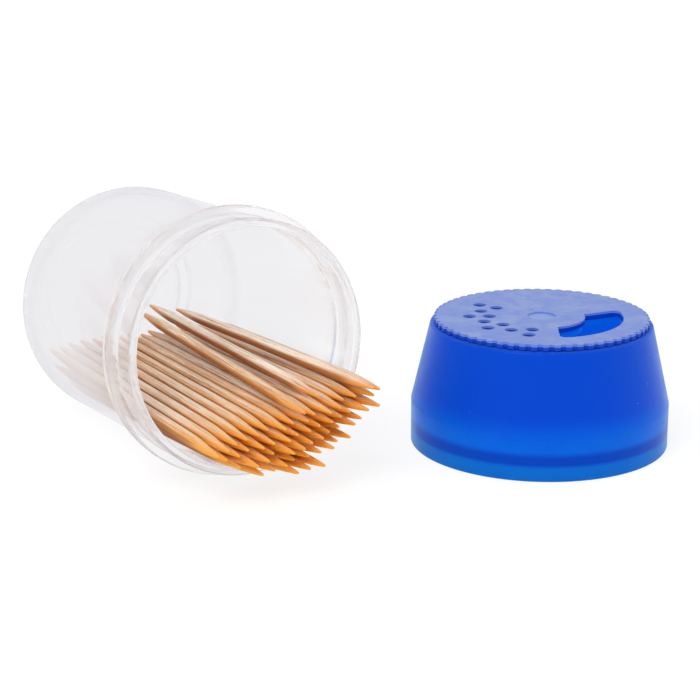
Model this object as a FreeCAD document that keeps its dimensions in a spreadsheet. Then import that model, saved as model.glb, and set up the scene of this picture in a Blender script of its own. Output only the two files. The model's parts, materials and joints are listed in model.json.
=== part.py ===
"""
A round toothpick dispenser, taken apart for filling.

The clear jar lies on its side, on its flange and its heel, about half full of
toothpicks with two points. Their front points stick out of the mouth. The
blue cap stands upright beside it on its open foot. A round dial turns on the
cap and brings a slot, small holes or a blank stretch over the cap's window.

Lengths are in millimetres and angles in degrees. +Z is up, the jar's mouth
faces -Y, and the cap stands on the +X side. The origin lies on the ground,
under the middle of the box round the whole object.
"""
import FreeCAD, Part
import math
import os
import random

import Sketcher

SHEET = "Sizes"

# Each size has a name, a value or a formula, and a few words on what it
# measures. A formula names other sizes, each behind a $ sign.
SIZES = (
    ("jar_depth", 62.8, "jar, from its foot to its rim, outside"),
    ("jar_foot_radius", 24.0, "jar wall, carried down to its bottom, outside"),
    ("jar_draft", 0.3, "how far the wall widens up to the flange"),
    ("jar_wall", 1.3, "jar wall thickness at its bottom"),
    ("jar_floor", 1.4, "jar floor thickness"),
    ("jar_heel_round", 9.0, "rounding between bottom and wall, outside"),
    ("jar_ring_height", 2.0, "foot ring under the bottom"),
    ("jar_ring_inset", 6.2, "from the wall's outside to the foot ring"),
    ("jar_ring_width", 2.6, "foot ring, from its outside to its inside"),
    ("jar_ring_round", 0.4, "rounding of the foot ring's lower edges"),
    ("jar_flange_reach", 1.9, "flange that the closed cap sits on, past the wall"),
    ("jar_flange_thickness", 2.5, "flange thickness"),
    ("jar_flange_round", 0.5, "rounding of the flange's edges"),
    ("jar_rim_length", 6.3, "neck and bead, ahead of the flange"),
    ("jar_neck_step", 0.3, "neck, inside the wall's outside"),
    ("jar_bead_reach", 0.7, "snap bead at the rim, past the neck"),
    ("jar_bead_width", 1.3, "snap bead, along the axis"),
    ("jar_bead_lead", 0.5, "slope behind the snap bead"),
    ("jar_rim_round", 0.4, "rounding of the rim's edges"),
    ("cap_fit_gap", 0.3, "cap's band round the jar's snap bead"),
    ("cap_wall", 1.0, "band and lower cone wall"),
    ("cap_thick_wall", 1.6, "upper cone wall"),
    ("cap_band_height", 8.8, "straight band under the cone"),
    ("cap_cone_height", 15.9, "cone, from the band to the deck"),
    ("cap_cone_taper", 3.7, "how far the cone draws in"),
    ("cap_thin_height", 3.2, "thin part of the cone's wall"),
    ("cap_deck", 1.2, "deck thickness"),
    ("cap_top_round", 0.5, "rounding at the deck's edge"),
    ("cap_foot_round", 0.3, "rounding at the foot"),
    ("cap_bead_bite", 0.2, "inner snap bead, inside the jar's bead"),
    ("cap_bead_drop", 0.8, "its middle, behind the jar's bead when closed"),
    ("cap_bead_width", 1.9, "inner snap bead, along the axis"),
    ("cap_bead_lead", 0.45, "slopes of the inner snap bead"),
    ("dial_ledge", 0.75, "deck's edge, past the dial"),
    ("dial_thickness", 1.3, "dial disc"),
    ("dial_gap", 0.1, "between the dial and the deck"),
    ("dial_edge_round", 0.3, "rounding of the dial's upper edge"),
    ("dial_teeth", 60, "teeth round the dial"),
    ("dial_notch_radius", 0.5, "gaps between the teeth"),
    ("hub_radius", 2.95, "dimple in the dial's middle"),
    ("hub_depth", 0.4, "depth of the dimple"),
    ("hub_slope", 0.5, "slope of the dimple's side"),
    ("stem_radius", 2.9, "the dial's stem"),
    ("stem_gap", 0.06, "stem in the deck's bore, all round"),
    ("stem_split", 1.2, "slit between the stem's two legs"),
    ("lip_reach", 0.5, "snap lip under the deck, outwards"),
    ("lip_height", 0.5, "straight part of the snap lip"),
    ("lip_lead", 1.0, "slope under the snap lip"),
    ("slot_edge", 5.25, "dial slot, from the dial's edge"),
    ("slot_width", 7.6, "dial slot, across"),
    ("slot_middle_angle", -33.7, "middle of the slot, seen from above"),
    ("slot_end_angle", 58.1, "from the slot's middle to the way each end runs"),
    ("slot_end_inset", 2.7, "each end, from the line beside it through the axis"),
    ("slot_outer_round", 1.2, "outer corners of the slot"),
    ("slot_inner_round", 0.4, "inner corners of the slot"),
    ("window_margin", 0.5, "deck window, past the slot on every side"),
    ("hole_radius", 1.25, "small holes for single toothpicks"),
    ("hole_edge", 7.05, "outer ring of small holes, from the dial's edge"),
    ("hole_spread", 4.0, "from the outer ring of holes to the inner"),
    ("hole_start_angle", 145.2, "first pair of small holes"),
    ("hole_step_angle", 36.6, "from one pair to the next"),
    ("hole_pairs", 4, "pairs of small holes"),
    ("pick_length", 65.0, "toothpick"),
    ("pick_radius", 1.1, "toothpick between its two points"),
    ("pick_taper", 9.5, "length of each point"),
    ("pick_knee", 3.8, "steeper end of each point"),
    ("pick_knee_radius", 0.72, "where the point grows steeper"),
    ("pick_tip_radius", 0.25, "blunt end of each point"),
    ("pick_gap", 0.1, "least gap between toothpicks in a row"),
    ("row_gap", 0.2, "least gap between rows of toothpicks"),
    ("wall_gap", 0.1, "between the toothpicks and the jar's wall"),
    ("floor_gap", 6.9, "between the hindmost tip and the jar's floor"),
    ("pick_stagger", 3.5, "how unevenly the tips end"),
    ("apart_across", 10.1, "from the jar's flange to the cap's foot, across"),
    ("apart_ahead", 16.4, "cap's axis ahead of the flange"),
    ("cap_turn_angle", -30.7, "how the cap is turned where it stands"),
    ("jar_inner_radius", "$jar_foot_radius - $jar_wall", "jar at its floor, inside"),
    ("jar_bore_radius", "$jar_inner_radius + $jar_draft", "mouth, inside"),
    ("jar_shoulder_radius", "$jar_foot_radius + $jar_draft", "jar wall at the flange, outside"),
    ("jar_flange_radius", "$jar_shoulder_radius + $jar_flange_reach", "flange"),
    ("jar_flange_front", "$jar_depth - $jar_rim_length", "flange, side towards the rim"),
    ("jar_flange_back", "$jar_flange_front - $jar_flange_thickness", "flange, other side"),
    ("jar_neck_radius", "$jar_shoulder_radius - $jar_neck_step", "neck, outside"),
    ("jar_bead_radius", "$jar_neck_radius + $jar_bead_reach", "snap bead, outside"),
    ("jar_ring_outer_radius", "$jar_foot_radius - $jar_ring_inset", "foot ring, outside"),
    ("jar_ring_inner_radius", "$jar_ring_outer_radius - $jar_ring_width",
     "foot ring, inside"),
    ("jar_inner_floor", "$jar_ring_height + $jar_floor", "foot to the jar's floor, inside"),
    ("jar_inner_round", "$jar_heel_round - $jar_wall", "rounding between floor and wall, inside"),
    ("jar_heel_level", "$jar_ring_height + $jar_heel_round", "foot to the straight wall"),
    ("cap_inner_radius", "$jar_bead_radius + $cap_fit_gap", "cap's band, inside"),
    ("cap_radius", "$cap_inner_radius + $cap_wall", "cap's band, outside"),
    ("cap_height", "$cap_band_height + $cap_cone_height", "foot to deck"),
    ("cap_under", "$cap_height - $cap_deck", "foot to the deck's underside"),
    ("cap_top_radius", "$cap_radius - $cap_cone_taper", "cone at the deck, outside"),
    ("cap_step_height", "$cap_band_height + $cap_thin_height", "where the wall grows thicker"),
    ("cap_bead_radius", "$jar_bead_radius - $cap_bead_bite", "inner snap bead, inside"),
    ("cap_bead_height", "$jar_rim_length - $jar_bead_width - $cap_bead_drop",
     "middle of the inner snap bead"),
    ("dial_radius", "$cap_top_radius - $dial_ledge", "dial over its teeth"),
    ("dial_under", "$cap_height + $dial_gap", "foot to the dial's underside"),
    ("dial_over", "$dial_under + $dial_thickness", "foot to the dial's top"),
    ("slot_outer_radius", "$dial_radius - $slot_edge", "dial slot, nearer the edge"),
    ("slot_inner_radius", "$slot_outer_radius - $slot_width", "dial slot, nearer the middle"),
    ("window_outer_radius", "$slot_outer_radius + $window_margin", "deck window, outside"),
    ("window_inner_radius", "$slot_inner_radius - $window_margin", "deck window, inside"),
    ("window_end_inset", "$slot_end_inset - $window_margin", "deck window, each end"),
    ("hole_outer_ring", "$dial_radius - $hole_edge", "outer ring of small holes"),
    ("hole_inner_ring", "$hole_outer_ring - $hole_spread", "inner ring of small holes"),
    ("hole_middle_ring", "($hole_outer_ring + $hole_inner_ring) / 2", "holes between them"),
)

# How many toothpicks each of the lower groups holds, and how many lie on them.
GROUP_COUNTS = (3, 9, 12, 14)
TOP_COUNT = 16

# How the heap lies: rows fan out towards the foot, and lean at the mouth.
ROW_FAN_SHARE = 0.13
ROW_LEAN_ANGLE = 11.3
ROW_FILL_SHARE = 0.96
ROW_SCATTER_SHARE = 0.55
FIRST_ROW_SAG_SHARE = 0.014
HEAP_SEED = 11

# Places of the loose toothpicks on top, as shares of the width there.
LOOSE_FRONT_SHARES = (0.52, 0.66, 0.875)
LOOSE_BACK_SHARES = (0.50, 0.59, 0.655)
LOOSE_STAGGER_SHARES = (1.2, 0.1, 1.65)

MATCH = 0.001
# Any length serves as a sketch's first guess, before its formulas move it.
FIRST_GUESS = 1.0
PART_FOLDER = "parts"


def make_sheet(doc):
    """Put every driving size into the document's spreadsheet."""
    sheet = doc.addObject("Spreadsheet::Sheet", SHEET)
    for row, (name, size, words) in enumerate(SIZES, start=1):
        sheet.set(f"A{row}", words)
        content = str(size)
        if "$" in content:
            content = "=" + content.replace("$", "")
        sheet.set(f"B{row}", content)
        sheet.setAlias(f"B{row}", name)
    doc.recompute()
    return sheet


def driven(obj, prop, formula):
    """Tie a property to sizes of the sheet; $name stands for a size."""
    obj.setExpression(prop, formula.replace("$", SHEET + "."))


def new_body(doc, label):
    """Start an empty sub-part."""
    body = doc.addObject("PartDesign::Body", label)
    body.Label = label
    return body


def new_sketch(body, plane, name, turn=0.0):
    """Start a sketch on an origin plane, turned about the body's axis."""
    turn_axes = {"XY_Plane": FreeCAD.Vector(0, 0, 1), "XZ_Plane": FreeCAD.Vector(0, 1, 0)}
    support = next(item for item in body.Origin.OriginFeatures if item.Role == plane)
    sketch = body.newObject("Sketcher::SketchObject", name)
    sketch.AttachmentSupport = (support, [""])
    sketch.MapMode = "FlatFace"
    sketch.AttachmentOffset = FreeCAD.Placement(
        FreeCAD.Vector(), FreeCAD.Rotation(turn_axes[plane], turn))
    return sketch


def tie_point(sketch, geometry, position, across, up, start):
    """Fix one point of a sketch by formulas for its two coordinates."""
    for kind, axis, formula, guess in (
            ("DistanceX", -2, across, start.x), ("DistanceY", -1, up, start.y)):
        if formula == "0":
            sketch.addConstraint(Sketcher.Constraint("PointOnObject", geometry, position, axis))
        else:
            index = sketch.addConstraint(
                Sketcher.Constraint(kind, -1, 1, geometry, position, guess))
            driven(sketch, f"Constraints[{index}]", formula)


def draw_outline(sketch, corners):
    """Draw a closed outline through corners given as pairs of formulas."""
    count = len(corners)
    turns = [2 * math.pi * index / count for index in range(count)]
    starts = [FreeCAD.Vector(2 + math.cos(turn), 2 + math.sin(turn), 0) * FIRST_GUESS
              for turn in turns]
    for index in range(count):
        sketch.addGeometry(Part.LineSegment(starts[index], starts[(index + 1) % count]), False)
    for index in range(count):
        sketch.addConstraint(
            Sketcher.Constraint("Coincident", index, 2, (index + 1) % count, 1))
        across, up = corners[index]
        tie_point(sketch, index, 1, across, up, starts[index])


def draw_circle(sketch, across, radius):
    """Draw a circle on the sketch's first axis."""
    start = FreeCAD.Vector(FIRST_GUESS, 0, 0)
    circle = Part.Circle(start, FreeCAD.Vector(0, 0, 1), FIRST_GUESS)
    index = sketch.addGeometry(circle, False)
    tie_point(sketch, index, 3, across, "0", start)
    limit = sketch.addConstraint(Sketcher.Constraint("Radius", index, FIRST_GUESS))
    driven(sketch, f"Constraints[{limit}]", radius)


def revolve(body, name, corners):
    """Spin an outline in the XZ plane into a solid round the body's axis."""
    sketch = new_sketch(body, "XZ_Plane", name + "Outline")
    draw_outline(sketch, corners)
    turned = body.newObject("PartDesign::Revolution", name)
    turned.Profile = sketch
    turned.ReferenceAxis = (sketch, ["V_Axis"])
    turned.Angle = 360
    body.Document.recompute()
    return turned


def cut_through(body, name, sketch):
    """Cut a sketch through the whole body, both ways."""
    pocket = body.newObject("PartDesign::Pocket", name)
    pocket.Profile = sketch
    pocket.Type = "ThroughAll"
    pocket.Midplane = True
    body.Document.recompute()
    return pocket


def check_cut(body, name, before):
    """Stop if a cut took nothing away."""
    if body.Shape.Volume > before - MATCH:
        raise RuntimeError(f"{name} cuts nothing")


def repeat_round(body, name, feature, count, angle, full_turn):
    """Repeat a feature about the body's axis."""
    before = body.Shape.Volume
    axis = next(item for item in body.Origin.OriginFeatures if item.Role == "Z_Axis")
    pattern = body.newObject("PartDesign::PolarPattern", name)
    pattern.Originals = [feature]
    pattern.Axis = (axis, [""])
    driven(pattern, "Occurrences", count)
    if full_turn:
        pattern.Angle = 360
    else:
        driven(pattern, "Angle", angle)
    body.Tip = pattern
    body.Document.recompute()
    check_cut(body, name, before)
    return pattern


def ring_edges(feature, rings):
    """Names of the full circles at each (radius, level) of a turned solid."""
    names = []
    for index, edge in enumerate(feature.Shape.Edges, start=1):
        if not isinstance(edge.Curve, Part.Circle):
            continue
        for radius, level in rings:
            if (abs(edge.Curve.Radius - radius) < MATCH
                    and abs(edge.Curve.Center.z - level) < MATCH):
                names.append(f"Edge{index}")
    if len(names) < len(rings):
        raise RuntimeError(f"{feature.Name} lacks an edge to round")
    return names


def corner_edges(feature, radius, angles, levels):
    """Names of the upright edges at a radius, at each angle, between two levels."""
    names = []
    for index, edge in enumerate(feature.Shape.Edges, start=1):
        ends = [vertex.Point for vertex in edge.Vertexes]
        if len(ends) != 2 or math.hypot(ends[0].x - ends[1].x, ends[0].y - ends[1].y) > MATCH:
            continue
        if abs(math.hypot(ends[0].x, ends[0].y) - radius) > MATCH:
            continue
        if not levels[0] - MATCH < edge.CenterOfMass.z < levels[1] + MATCH:
            continue
        for angle in angles:
            spot = FreeCAD.Vector(radius * math.cos(math.radians(angle)),
                                  radius * math.sin(math.radians(angle)), ends[0].z)
            if spot.distanceToPoint(ends[0]) < MATCH:
                names.append(f"Edge{index}")
    if len(names) < len(angles):
        raise RuntimeError(f"{feature.Name} lacks a corner to round")
    return names


def round_edges(body, name, feature, edges, radius):
    """Round named edges of a feature."""
    fillet = body.newObject("PartDesign::Fillet", name)
    fillet.Base = (feature, edges)
    driven(fillet, "Radius", radius)
    body.Document.recompute()
    return fillet


def cut_slot(body, name, size, kind, levels):
    """Cut a curved slot through the body and round its corners.

    Its long sides are arcs round the axis. Each end is straight and runs
    beside a line through the axis, so the slot grows longer outwards.
    """
    before = body.Shape.Volume
    inset = size(kind + "_end_inset")
    lean = math.radians(size("slot_end_angle"))
    middle = size("slot_middle_angle")
    sketch = new_sketch(body, "XY_Plane", name + "Outline", middle)
    turns = {}
    for ring in ("inner", "outer"):
        radius = size(f"{kind}_{ring}_radius")
        turns[ring] = lean - math.asin(inset / radius)
        circle = Part.Circle(FreeCAD.Vector(), FreeCAD.Vector(0, 0, 1), radius)
        arc = sketch.addGeometry(Part.ArcOfCircle(circle, -turns[ring], turns[ring]), False)
        sketch.addConstraint(Sketcher.Constraint("Coincident", arc, 3, -1, 1))
        limit = sketch.addConstraint(Sketcher.Constraint("Radius", arc, radius))
        driven(sketch, f"Constraints[{limit}]", f"${kind}_{ring}_radius")
    for side, position in ((1, 2), (-1, 1)):
        starts = [sketch.getPoint(arc, position) for arc in (0, 1)]
        line = sketch.addGeometry(Part.LineSegment(*starts), False)
        for arc in (0, 1):
            sketch.addConstraint(
                Sketcher.Constraint("Coincident", line, arc + 1, arc, position))
        limit = sketch.addConstraint(Sketcher.Constraint("Angle", line, side * lean))
        driven(sketch, f"Constraints[{limit}]", f"{side} * $slot_end_angle")
        limit = sketch.addConstraint(Sketcher.Constraint("Distance", -1, 1, line, inset))
        driven(sketch, f"Constraints[{limit}]", f"${kind}_end_inset")
    cut = cut_through(body, name, sketch)
    check_cut(body, name, before)
    for ring in ("outer", "inner"):
        turn = math.degrees(turns[ring])
        edges = corner_edges(cut, size(f"{kind}_{ring}_radius"),
                             (middle - turn, middle + turn), levels)
        cut = round_edges(body, f"{name}{ring.title()}Corners", cut, edges,
                          f"$slot_{ring}_round")


def make_jar(doc, size):
    """The clear jar, with its foot at the local origin and its mouth upwards.

    A foot ring stands under the bottom and runs up into the floor's middle.
    """
    body = new_body(doc, "jar")
    wall = revolve(body, "JarWall", (
        ("0", "$jar_ring_height"),
        ("$jar_foot_radius", "$jar_ring_height"),
        ("$jar_shoulder_radius", "$jar_flange_back"),
        ("$jar_flange_radius", "$jar_flange_back"),
        ("$jar_flange_radius", "$jar_flange_front"),
        ("$jar_neck_radius", "$jar_flange_front"),
        ("$jar_neck_radius", "$jar_depth - $jar_bead_width - $jar_bead_lead"),
        ("$jar_bead_radius", "$jar_depth - $jar_bead_width"),
        ("$jar_bead_radius", "$jar_depth"),
        ("$jar_bore_radius", "$jar_depth"),
        ("$jar_inner_radius", "$jar_inner_floor"),
        ("0", "$jar_inner_floor"),
    ))
    heel = round_edges(
        body, "JarHeel", wall,
        ring_edges(wall, [(size("jar_foot_radius"), size("jar_ring_height"))]),
        "$jar_heel_round")
    inner = round_edges(
        body, "JarInnerCorner", heel,
        ring_edges(heel, [(size("jar_inner_radius"), size("jar_inner_floor"))]),
        "$jar_inner_round")
    flange = round_edges(
        body, "JarFlangeEdges", inner,
        ring_edges(inner, [(size("jar_flange_radius"), size("jar_flange_back")),
                           (size("jar_flange_radius"), size("jar_flange_front"))]),
        "$jar_flange_round")
    round_edges(
        body, "JarRimEdges", flange,
        ring_edges(flange, [(size("jar_bead_radius"), size("jar_depth")),
                            (size("jar_bore_radius"), size("jar_depth"))]),
        "$jar_rim_round")

    ring_top = "$jar_ring_height + $jar_floor / 2"
    ring = revolve(body, "JarFootRing", (
        ("$jar_ring_inner_radius", "0"),
        ("$jar_ring_outer_radius", "0"),
        ("$jar_ring_outer_radius", ring_top),
        ("$jar_ring_inner_radius", ring_top),
    ))
    round_edges(
        body, "JarFootRingEdges", ring,
        ring_edges(ring, [(size("jar_ring_inner_radius"), 0),
                          (size("jar_ring_outer_radius"), 0)]),
        "$jar_ring_round")
    return body


def make_cap(doc, size):
    """The cap's body, with the middle of its foot at the local origin."""
    body = new_body(doc, "cap")
    cone_slope = "$cap_cone_taper / $cap_cone_height"
    cone_at_step = f"$cap_radius - {cone_slope} * $cap_thin_height"
    bead_low = "$cap_bead_height - $cap_bead_width / 2"
    bead_high = "$cap_bead_height + $cap_bead_width / 2"
    shell = revolve(body, "CapShell", (
        ("$cap_inner_radius", "0"),
        ("$cap_radius", "0"),
        ("$cap_radius", "$cap_band_height"),
        ("$cap_top_radius", "$cap_height"),
        ("$stem_radius + $stem_gap", "$cap_height"),
        ("$stem_radius + $stem_gap", "$cap_under"),
        (f"$cap_top_radius + {cone_slope} * $cap_deck - $cap_thick_wall", "$cap_under"),
        (cone_at_step + " - $cap_thick_wall", "$cap_step_height"),
        (cone_at_step + " - $cap_wall", "$cap_step_height"),
        ("$cap_inner_radius", "$cap_band_height"),
        ("$cap_inner_radius", bead_high),
        ("$cap_bead_radius", bead_high + " - $cap_bead_lead"),
        ("$cap_bead_radius", bead_low + " + $cap_bead_lead"),
        ("$cap_inner_radius", bead_low),
    ))
    top = round_edges(body, "CapTopEdge", shell,
                      ring_edges(shell, [(size("cap_top_radius"), size("cap_height"))]),
                      "$cap_top_round")
    round_edges(body, "CapFootEdge", top, ring_edges(top, [(size("cap_radius"), 0)]),
                "$cap_foot_round")
    cut_slot(body, "CapWindow", size, "window", (size("cap_under"), size("cap_height")))
    return body


def make_dial(doc, size):
    """The turning dial, in the cap's own frame."""
    body = new_body(doc, "dial")
    lip_top = "$cap_under - $dial_gap"
    lip_low = lip_top + " - $lip_height"
    stem_end = lip_low + " - $lip_lead"
    disc = revolve(body, "DialDisc", (
        ("0", stem_end),
        ("$stem_radius - $lip_reach", stem_end),
        ("$stem_radius + $lip_reach", lip_low),
        ("$stem_radius + $lip_reach", lip_top),
        ("$stem_radius", lip_top),
        ("$stem_radius", "$dial_under"),
        ("$dial_radius", "$dial_under"),
        ("$dial_radius", "$dial_over"),
        ("$hub_radius", "$dial_over"),
        ("$hub_radius - $hub_slope", "$dial_over - $hub_depth"),
        ("0", "$dial_over - $hub_depth"),
    ))
    round_edges(body, "DialEdge", disc,
                ring_edges(disc, [(size("dial_radius"), size("dial_over"))]), "$dial_edge_round")

    cut_slot(body, "DialSlot", size, "slot", (size("dial_under"), size("dial_over")))

    spread = "$hole_step_angle * ($hole_pairs - 1)"
    for name, ring in (("Outer", "$hole_outer_ring"), ("Inner", "$hole_inner_ring")):
        sketch = new_sketch(body, "XY_Plane", f"Dial{name}Hole", size("hole_start_angle"))
        draw_circle(sketch, ring, "$hole_radius")
        hole = cut_through(body, f"Dial{name}HoleCut", sketch)
        repeat_round(body, f"Dial{name}Holes", hole, "$hole_pairs", spread, False)
    between = size("hole_start_angle") + size("hole_step_angle") / 2
    sketch = new_sketch(body, "XY_Plane", "DialMiddleHole", between)
    draw_circle(sketch, "$hole_middle_ring", "$hole_radius")
    hole = cut_through(body, "DialMiddleHoleCut", sketch)
    repeat_round(body, "DialMiddleHoles", hole, "$hole_pairs - 1",
                 "$hole_step_angle * ($hole_pairs - 2)", False)

    cut_stem_split(body)
    sketch = new_sketch(body, "XY_Plane", "DialNotch")
    draw_circle(sketch, "$dial_radius", "$dial_notch_radius")
    notch = cut_through(body, "DialNotchCut", sketch)
    repeat_round(body, "DialTeeth", notch, "$dial_teeth", "", True)
    return body


def cut_stem_split(body):
    """Slit the dial's stem into two springy legs, up to the dial."""
    before = body.Shape.Volume
    sketch = new_sketch(body, "XZ_Plane", "StemSplitOutline")
    low = "$cap_under - $dial_gap - $lip_height - 2 * $lip_lead"
    draw_outline(sketch, (
        ("-$stem_split / 2", low),
        ("$stem_split / 2", low),
        ("$stem_split / 2", "$dial_under"),
        ("-$stem_split / 2", "$dial_under"),
    ))
    split = body.newObject("PartDesign::Pocket", "StemSplit")
    split.Profile = sketch
    split.Type = "Length"
    split.Midplane = True
    driven(split, "Length", "4 * ($stem_radius + $lip_reach)")
    body.Document.recompute()
    check_cut(body, "StemSplit", before)


def make_pick_form(doc):
    """One toothpick standing on its back tip at the local origin."""
    body = new_body(doc, "pick_form")
    revolve(body, "PickForm", (
        ("0", "0"),
        ("$pick_tip_radius", "0"),
        ("$pick_knee_radius", "$pick_knee"),
        ("$pick_radius", "$pick_taper"),
        ("$pick_radius", "$pick_length - $pick_taper"),
        ("$pick_knee_radius", "$pick_length - $pick_knee"),
        ("$pick_tip_radius", "$pick_length"),
        ("0", "$pick_length"),
    ))
    return body


def jar_placement(size):
    """Lay the jar down until its flange and its heel both touch the ground.

    Each of the two is a round edge, so its lowest point lies one rounding
    below the edge's centre. The heel's centre moves out with the wall's slope.
    """
    flange_level = size("jar_flange_back") + size("jar_flange_round")
    flange_reach = size("jar_flange_radius") - size("jar_flange_round")
    slope = math.atan2(size("jar_draft"), size("jar_flange_back") - size("jar_ring_height"))
    heel_reach = (size("jar_foot_radius")
                  - size("jar_heel_round") * (1 / math.cos(slope) - math.tan(slope)))
    rise = flange_reach - heel_reach
    run = flange_level - size("jar_heel_level")
    drop = size("jar_heel_round") - size("jar_flange_round")
    tilt = math.acos(drop / math.hypot(rise, run)) - math.atan2(run, rise)

    foot_height = (heel_reach * math.cos(tilt) + size("jar_heel_round")
                   - size("jar_heel_level") * math.sin(tilt))
    ring_reach = size("jar_ring_outer_radius") - size("jar_ring_round")
    back_reach = ring_reach * math.sin(tilt) + size("jar_ring_round") * (1 - math.cos(tilt))
    flange_run = size("jar_flange_back") * math.cos(tilt)
    ahead = size("apart_ahead") + size("cap_radius")
    foot_y = (flange_run + ahead - back_reach) / 2
    across = size("jar_flange_radius") + size("apart_across") + size("cap_radius")
    jar_x = (size("jar_flange_radius") - size("cap_radius") - across) / 2
    placement = FreeCAD.Placement(
        FreeCAD.Vector(jar_x, foot_y, foot_height),
        FreeCAD.Rotation(FreeCAD.Vector(1, 0, 0), 90 - math.degrees(tilt)))
    cap_spot = FreeCAD.Vector(jar_x + across, foot_y - flange_run - size("apart_ahead"), 0)
    return placement, cap_spot


def spread_along(width, count, pitch, rng, crowd_right):
    """Uneven places along a row, never closer than the pitch."""
    spare = (width - (count - 1) * pitch) * ROW_SCATTER_SHARE
    weights = [rng.random() for _ in range(count)]
    places = [0.0]
    for weight in weights[1:]:
        places.append(places[-1] + pitch + spare * weight / sum(weights))
    left = -width / 2
    if crowd_right:
        left = width / 2 - places[-1]
    return [left + place for place in places]


class Heap:
    """Where the toothpicks lie in the jar, in the jar's own frame.

    Across the jar, +X runs as in the whole object and +Y is up; +Z runs to
    the mouth. Rows are counted from the lowest.
    """

    def __init__(self, size):
        self.size = size
        self.reach = size("jar_inner_radius") - size("wall_gap") - size("pick_radius")
        self.row_pitch = 2 * size("pick_radius") + size("row_gap")
        self.floor = size("jar_inner_floor") + size("floor_gap")
        self.lean = math.radians(ROW_LEAN_ANGLE)
        self.rng = random.Random(HEAP_SEED)

    def depths(self, row):
        """How far a row lies below the jar's axis at the mouth and at the foot."""
        lowest = self.reach * (1 - FIRST_ROW_SAG_SHARE / 2)
        front = lowest - row * self.row_pitch
        back = lowest - row * self.row_pitch * (1 + ROW_FAN_SHARE * row)
        return front, back

    def width(self, depth):
        """Room across the jar at a depth below its axis."""
        return 2 * math.sqrt(self.reach ** 2 - depth ** 2)

    def lay(self, back_place, front_place, row, stagger):
        """Placement of one toothpick between its places at foot and mouth."""
        front_depth, back_depth = self.depths(row)
        length = self.size("pick_length")
        start = FreeCAD.Vector(back_place, -back_depth, self.floor)
        end = FreeCAD.Vector(
            front_place * math.cos(self.lean) + front_depth * math.sin(self.lean),
            front_place * math.sin(self.lean) - front_depth * math.cos(self.lean),
            self.floor + length)
        along = (end - start).normalize()
        up = FreeCAD.Vector(0, 0, 1)
        return FreeCAD.Placement(start + along * stagger, FreeCAD.Rotation(up, along))

    def row_places(self, row, left):
        """Places at foot and mouth of a row's toothpicks, of which some are left.

        A last row that they can't fill has them spread over its whole width.
        """
        front_depth, back_depth = self.depths(row)
        widths = (self.width(back_depth), self.width(front_depth))
        pitch = 2 * self.size("pick_radius") + self.size("pick_gap")
        count = int(min(widths) * ROW_FILL_SHARE / pitch) + 1
        backs = spread_along(widths[0], count, pitch, self.rng, False)
        fronts = spread_along(widths[1], count, pitch, self.rng, True)
        laid = min(count, left)
        step = (count - 1) / max(laid - 1, 1)
        chosen = [round(number * step) for number in range(laid)]
        return [(backs[number], fronts[number]) for number in chosen]

    def stack(self):
        """Placements row by row from the lowest, until every toothpick is laid."""
        total = sum(GROUP_COUNTS) + TOP_COUNT
        staggers = [self.size("pick_stagger") * self.rng.random() for _ in range(total)]
        placements = []
        row = 0
        while len(placements) < total:
            for back, front in self.row_places(row, total - len(placements)):
                placements.append(self.lay(back, front, row, staggers[len(placements)]))
            row += 1
        return placements, row

    def loose_row(self, row):
        """Placements of the few toothpicks that lie on the last full row."""
        front_width, back_width = (self.width(depth) for depth in self.depths(row))
        return [self.lay((back - 0.5) * back_width, (front - 0.5) * front_width, row,
                         self.size("pick_stagger") * stagger)
                for front, back, stagger
                in zip(LOOSE_FRONT_SHARES, LOOSE_BACK_SHARES, LOOSE_STAGGER_SHARES)]


def make_piece(doc, label, shape, placement):
    """A sub-part made of copies of one finished form."""
    piece = doc.addObject("Part::Feature", label)
    piece.Label = label
    piece.Shape = shape
    piece.Placement = placement
    return piece


def make_picks(doc, size, jar):
    """Lower toothpicks as groups; the upper and the loose ones piece by piece."""
    pick = make_pick_form(doc).Shape.Solids[0]
    heap = Heap(size)
    placements, rows = heap.stack()
    pieces = []
    for number, count in enumerate(GROUP_COUNTS, start=1):
        solids = []
        for placement in placements[:count]:
            solid = pick.copy()
            solid.Placement = placement
            solids.append(solid)
        placements = placements[count:]
        pieces.append(make_piece(doc, f"pick_row_{number}", Part.Compound(solids), jar))
    for number, placement in enumerate(placements, start=1):
        pieces.append(make_piece(doc, f"pick_top_{number:02d}", pick.copy(),
                                 jar.multiply(placement)))
    for number, placement in enumerate(heap.loose_row(rows), start=1):
        pieces.append(make_piece(doc, f"pick_loose_{number}", pick.copy(),
                                 jar.multiply(placement)))
    return pieces


def check_document(doc, pieces):
    """Stop on any object that failed and on any shape that isn't sound."""
    for obj in doc.Objects:
        if "Invalid" in obj.State or "Error" in obj.State:
            raise RuntimeError(f"{obj.Name} failed: {obj.State}")
    for piece in pieces:
        if piece.Shape.isNull() or not piece.Shape.isValid():
            raise RuntimeError(f"{piece.Label} has no sound shape")


def main():
    """Build every sub-part and write each to its own file."""
    doc = FreeCAD.newDocument("ToothpickDispenser")
    sheet = make_sheet(doc)

    def size(name):
        return float(sheet.get(name))

    jar_spot, cap_spot = jar_placement(size)
    cap_placement = FreeCAD.Placement(
        cap_spot, FreeCAD.Rotation(FreeCAD.Vector(0, 0, 1), size("cap_turn_angle")))
    jar = make_jar(doc, size)
    jar.Placement = jar_spot
    cap = make_cap(doc, size)
    cap.Placement = cap_placement
    dial = make_dial(doc, size)
    dial.Placement = cap_placement
    pieces = [jar, cap, dial] + make_picks(doc, size, jar_spot)
    doc.recompute()
    check_document(doc, pieces)
    os.makedirs(PART_FOLDER, exist_ok=True)
    for piece in pieces:
        piece.Shape.exportStep(os.path.join(PART_FOLDER, piece.Label + ".step"))
    print("sub-parts:", len(pieces))


main()
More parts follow.
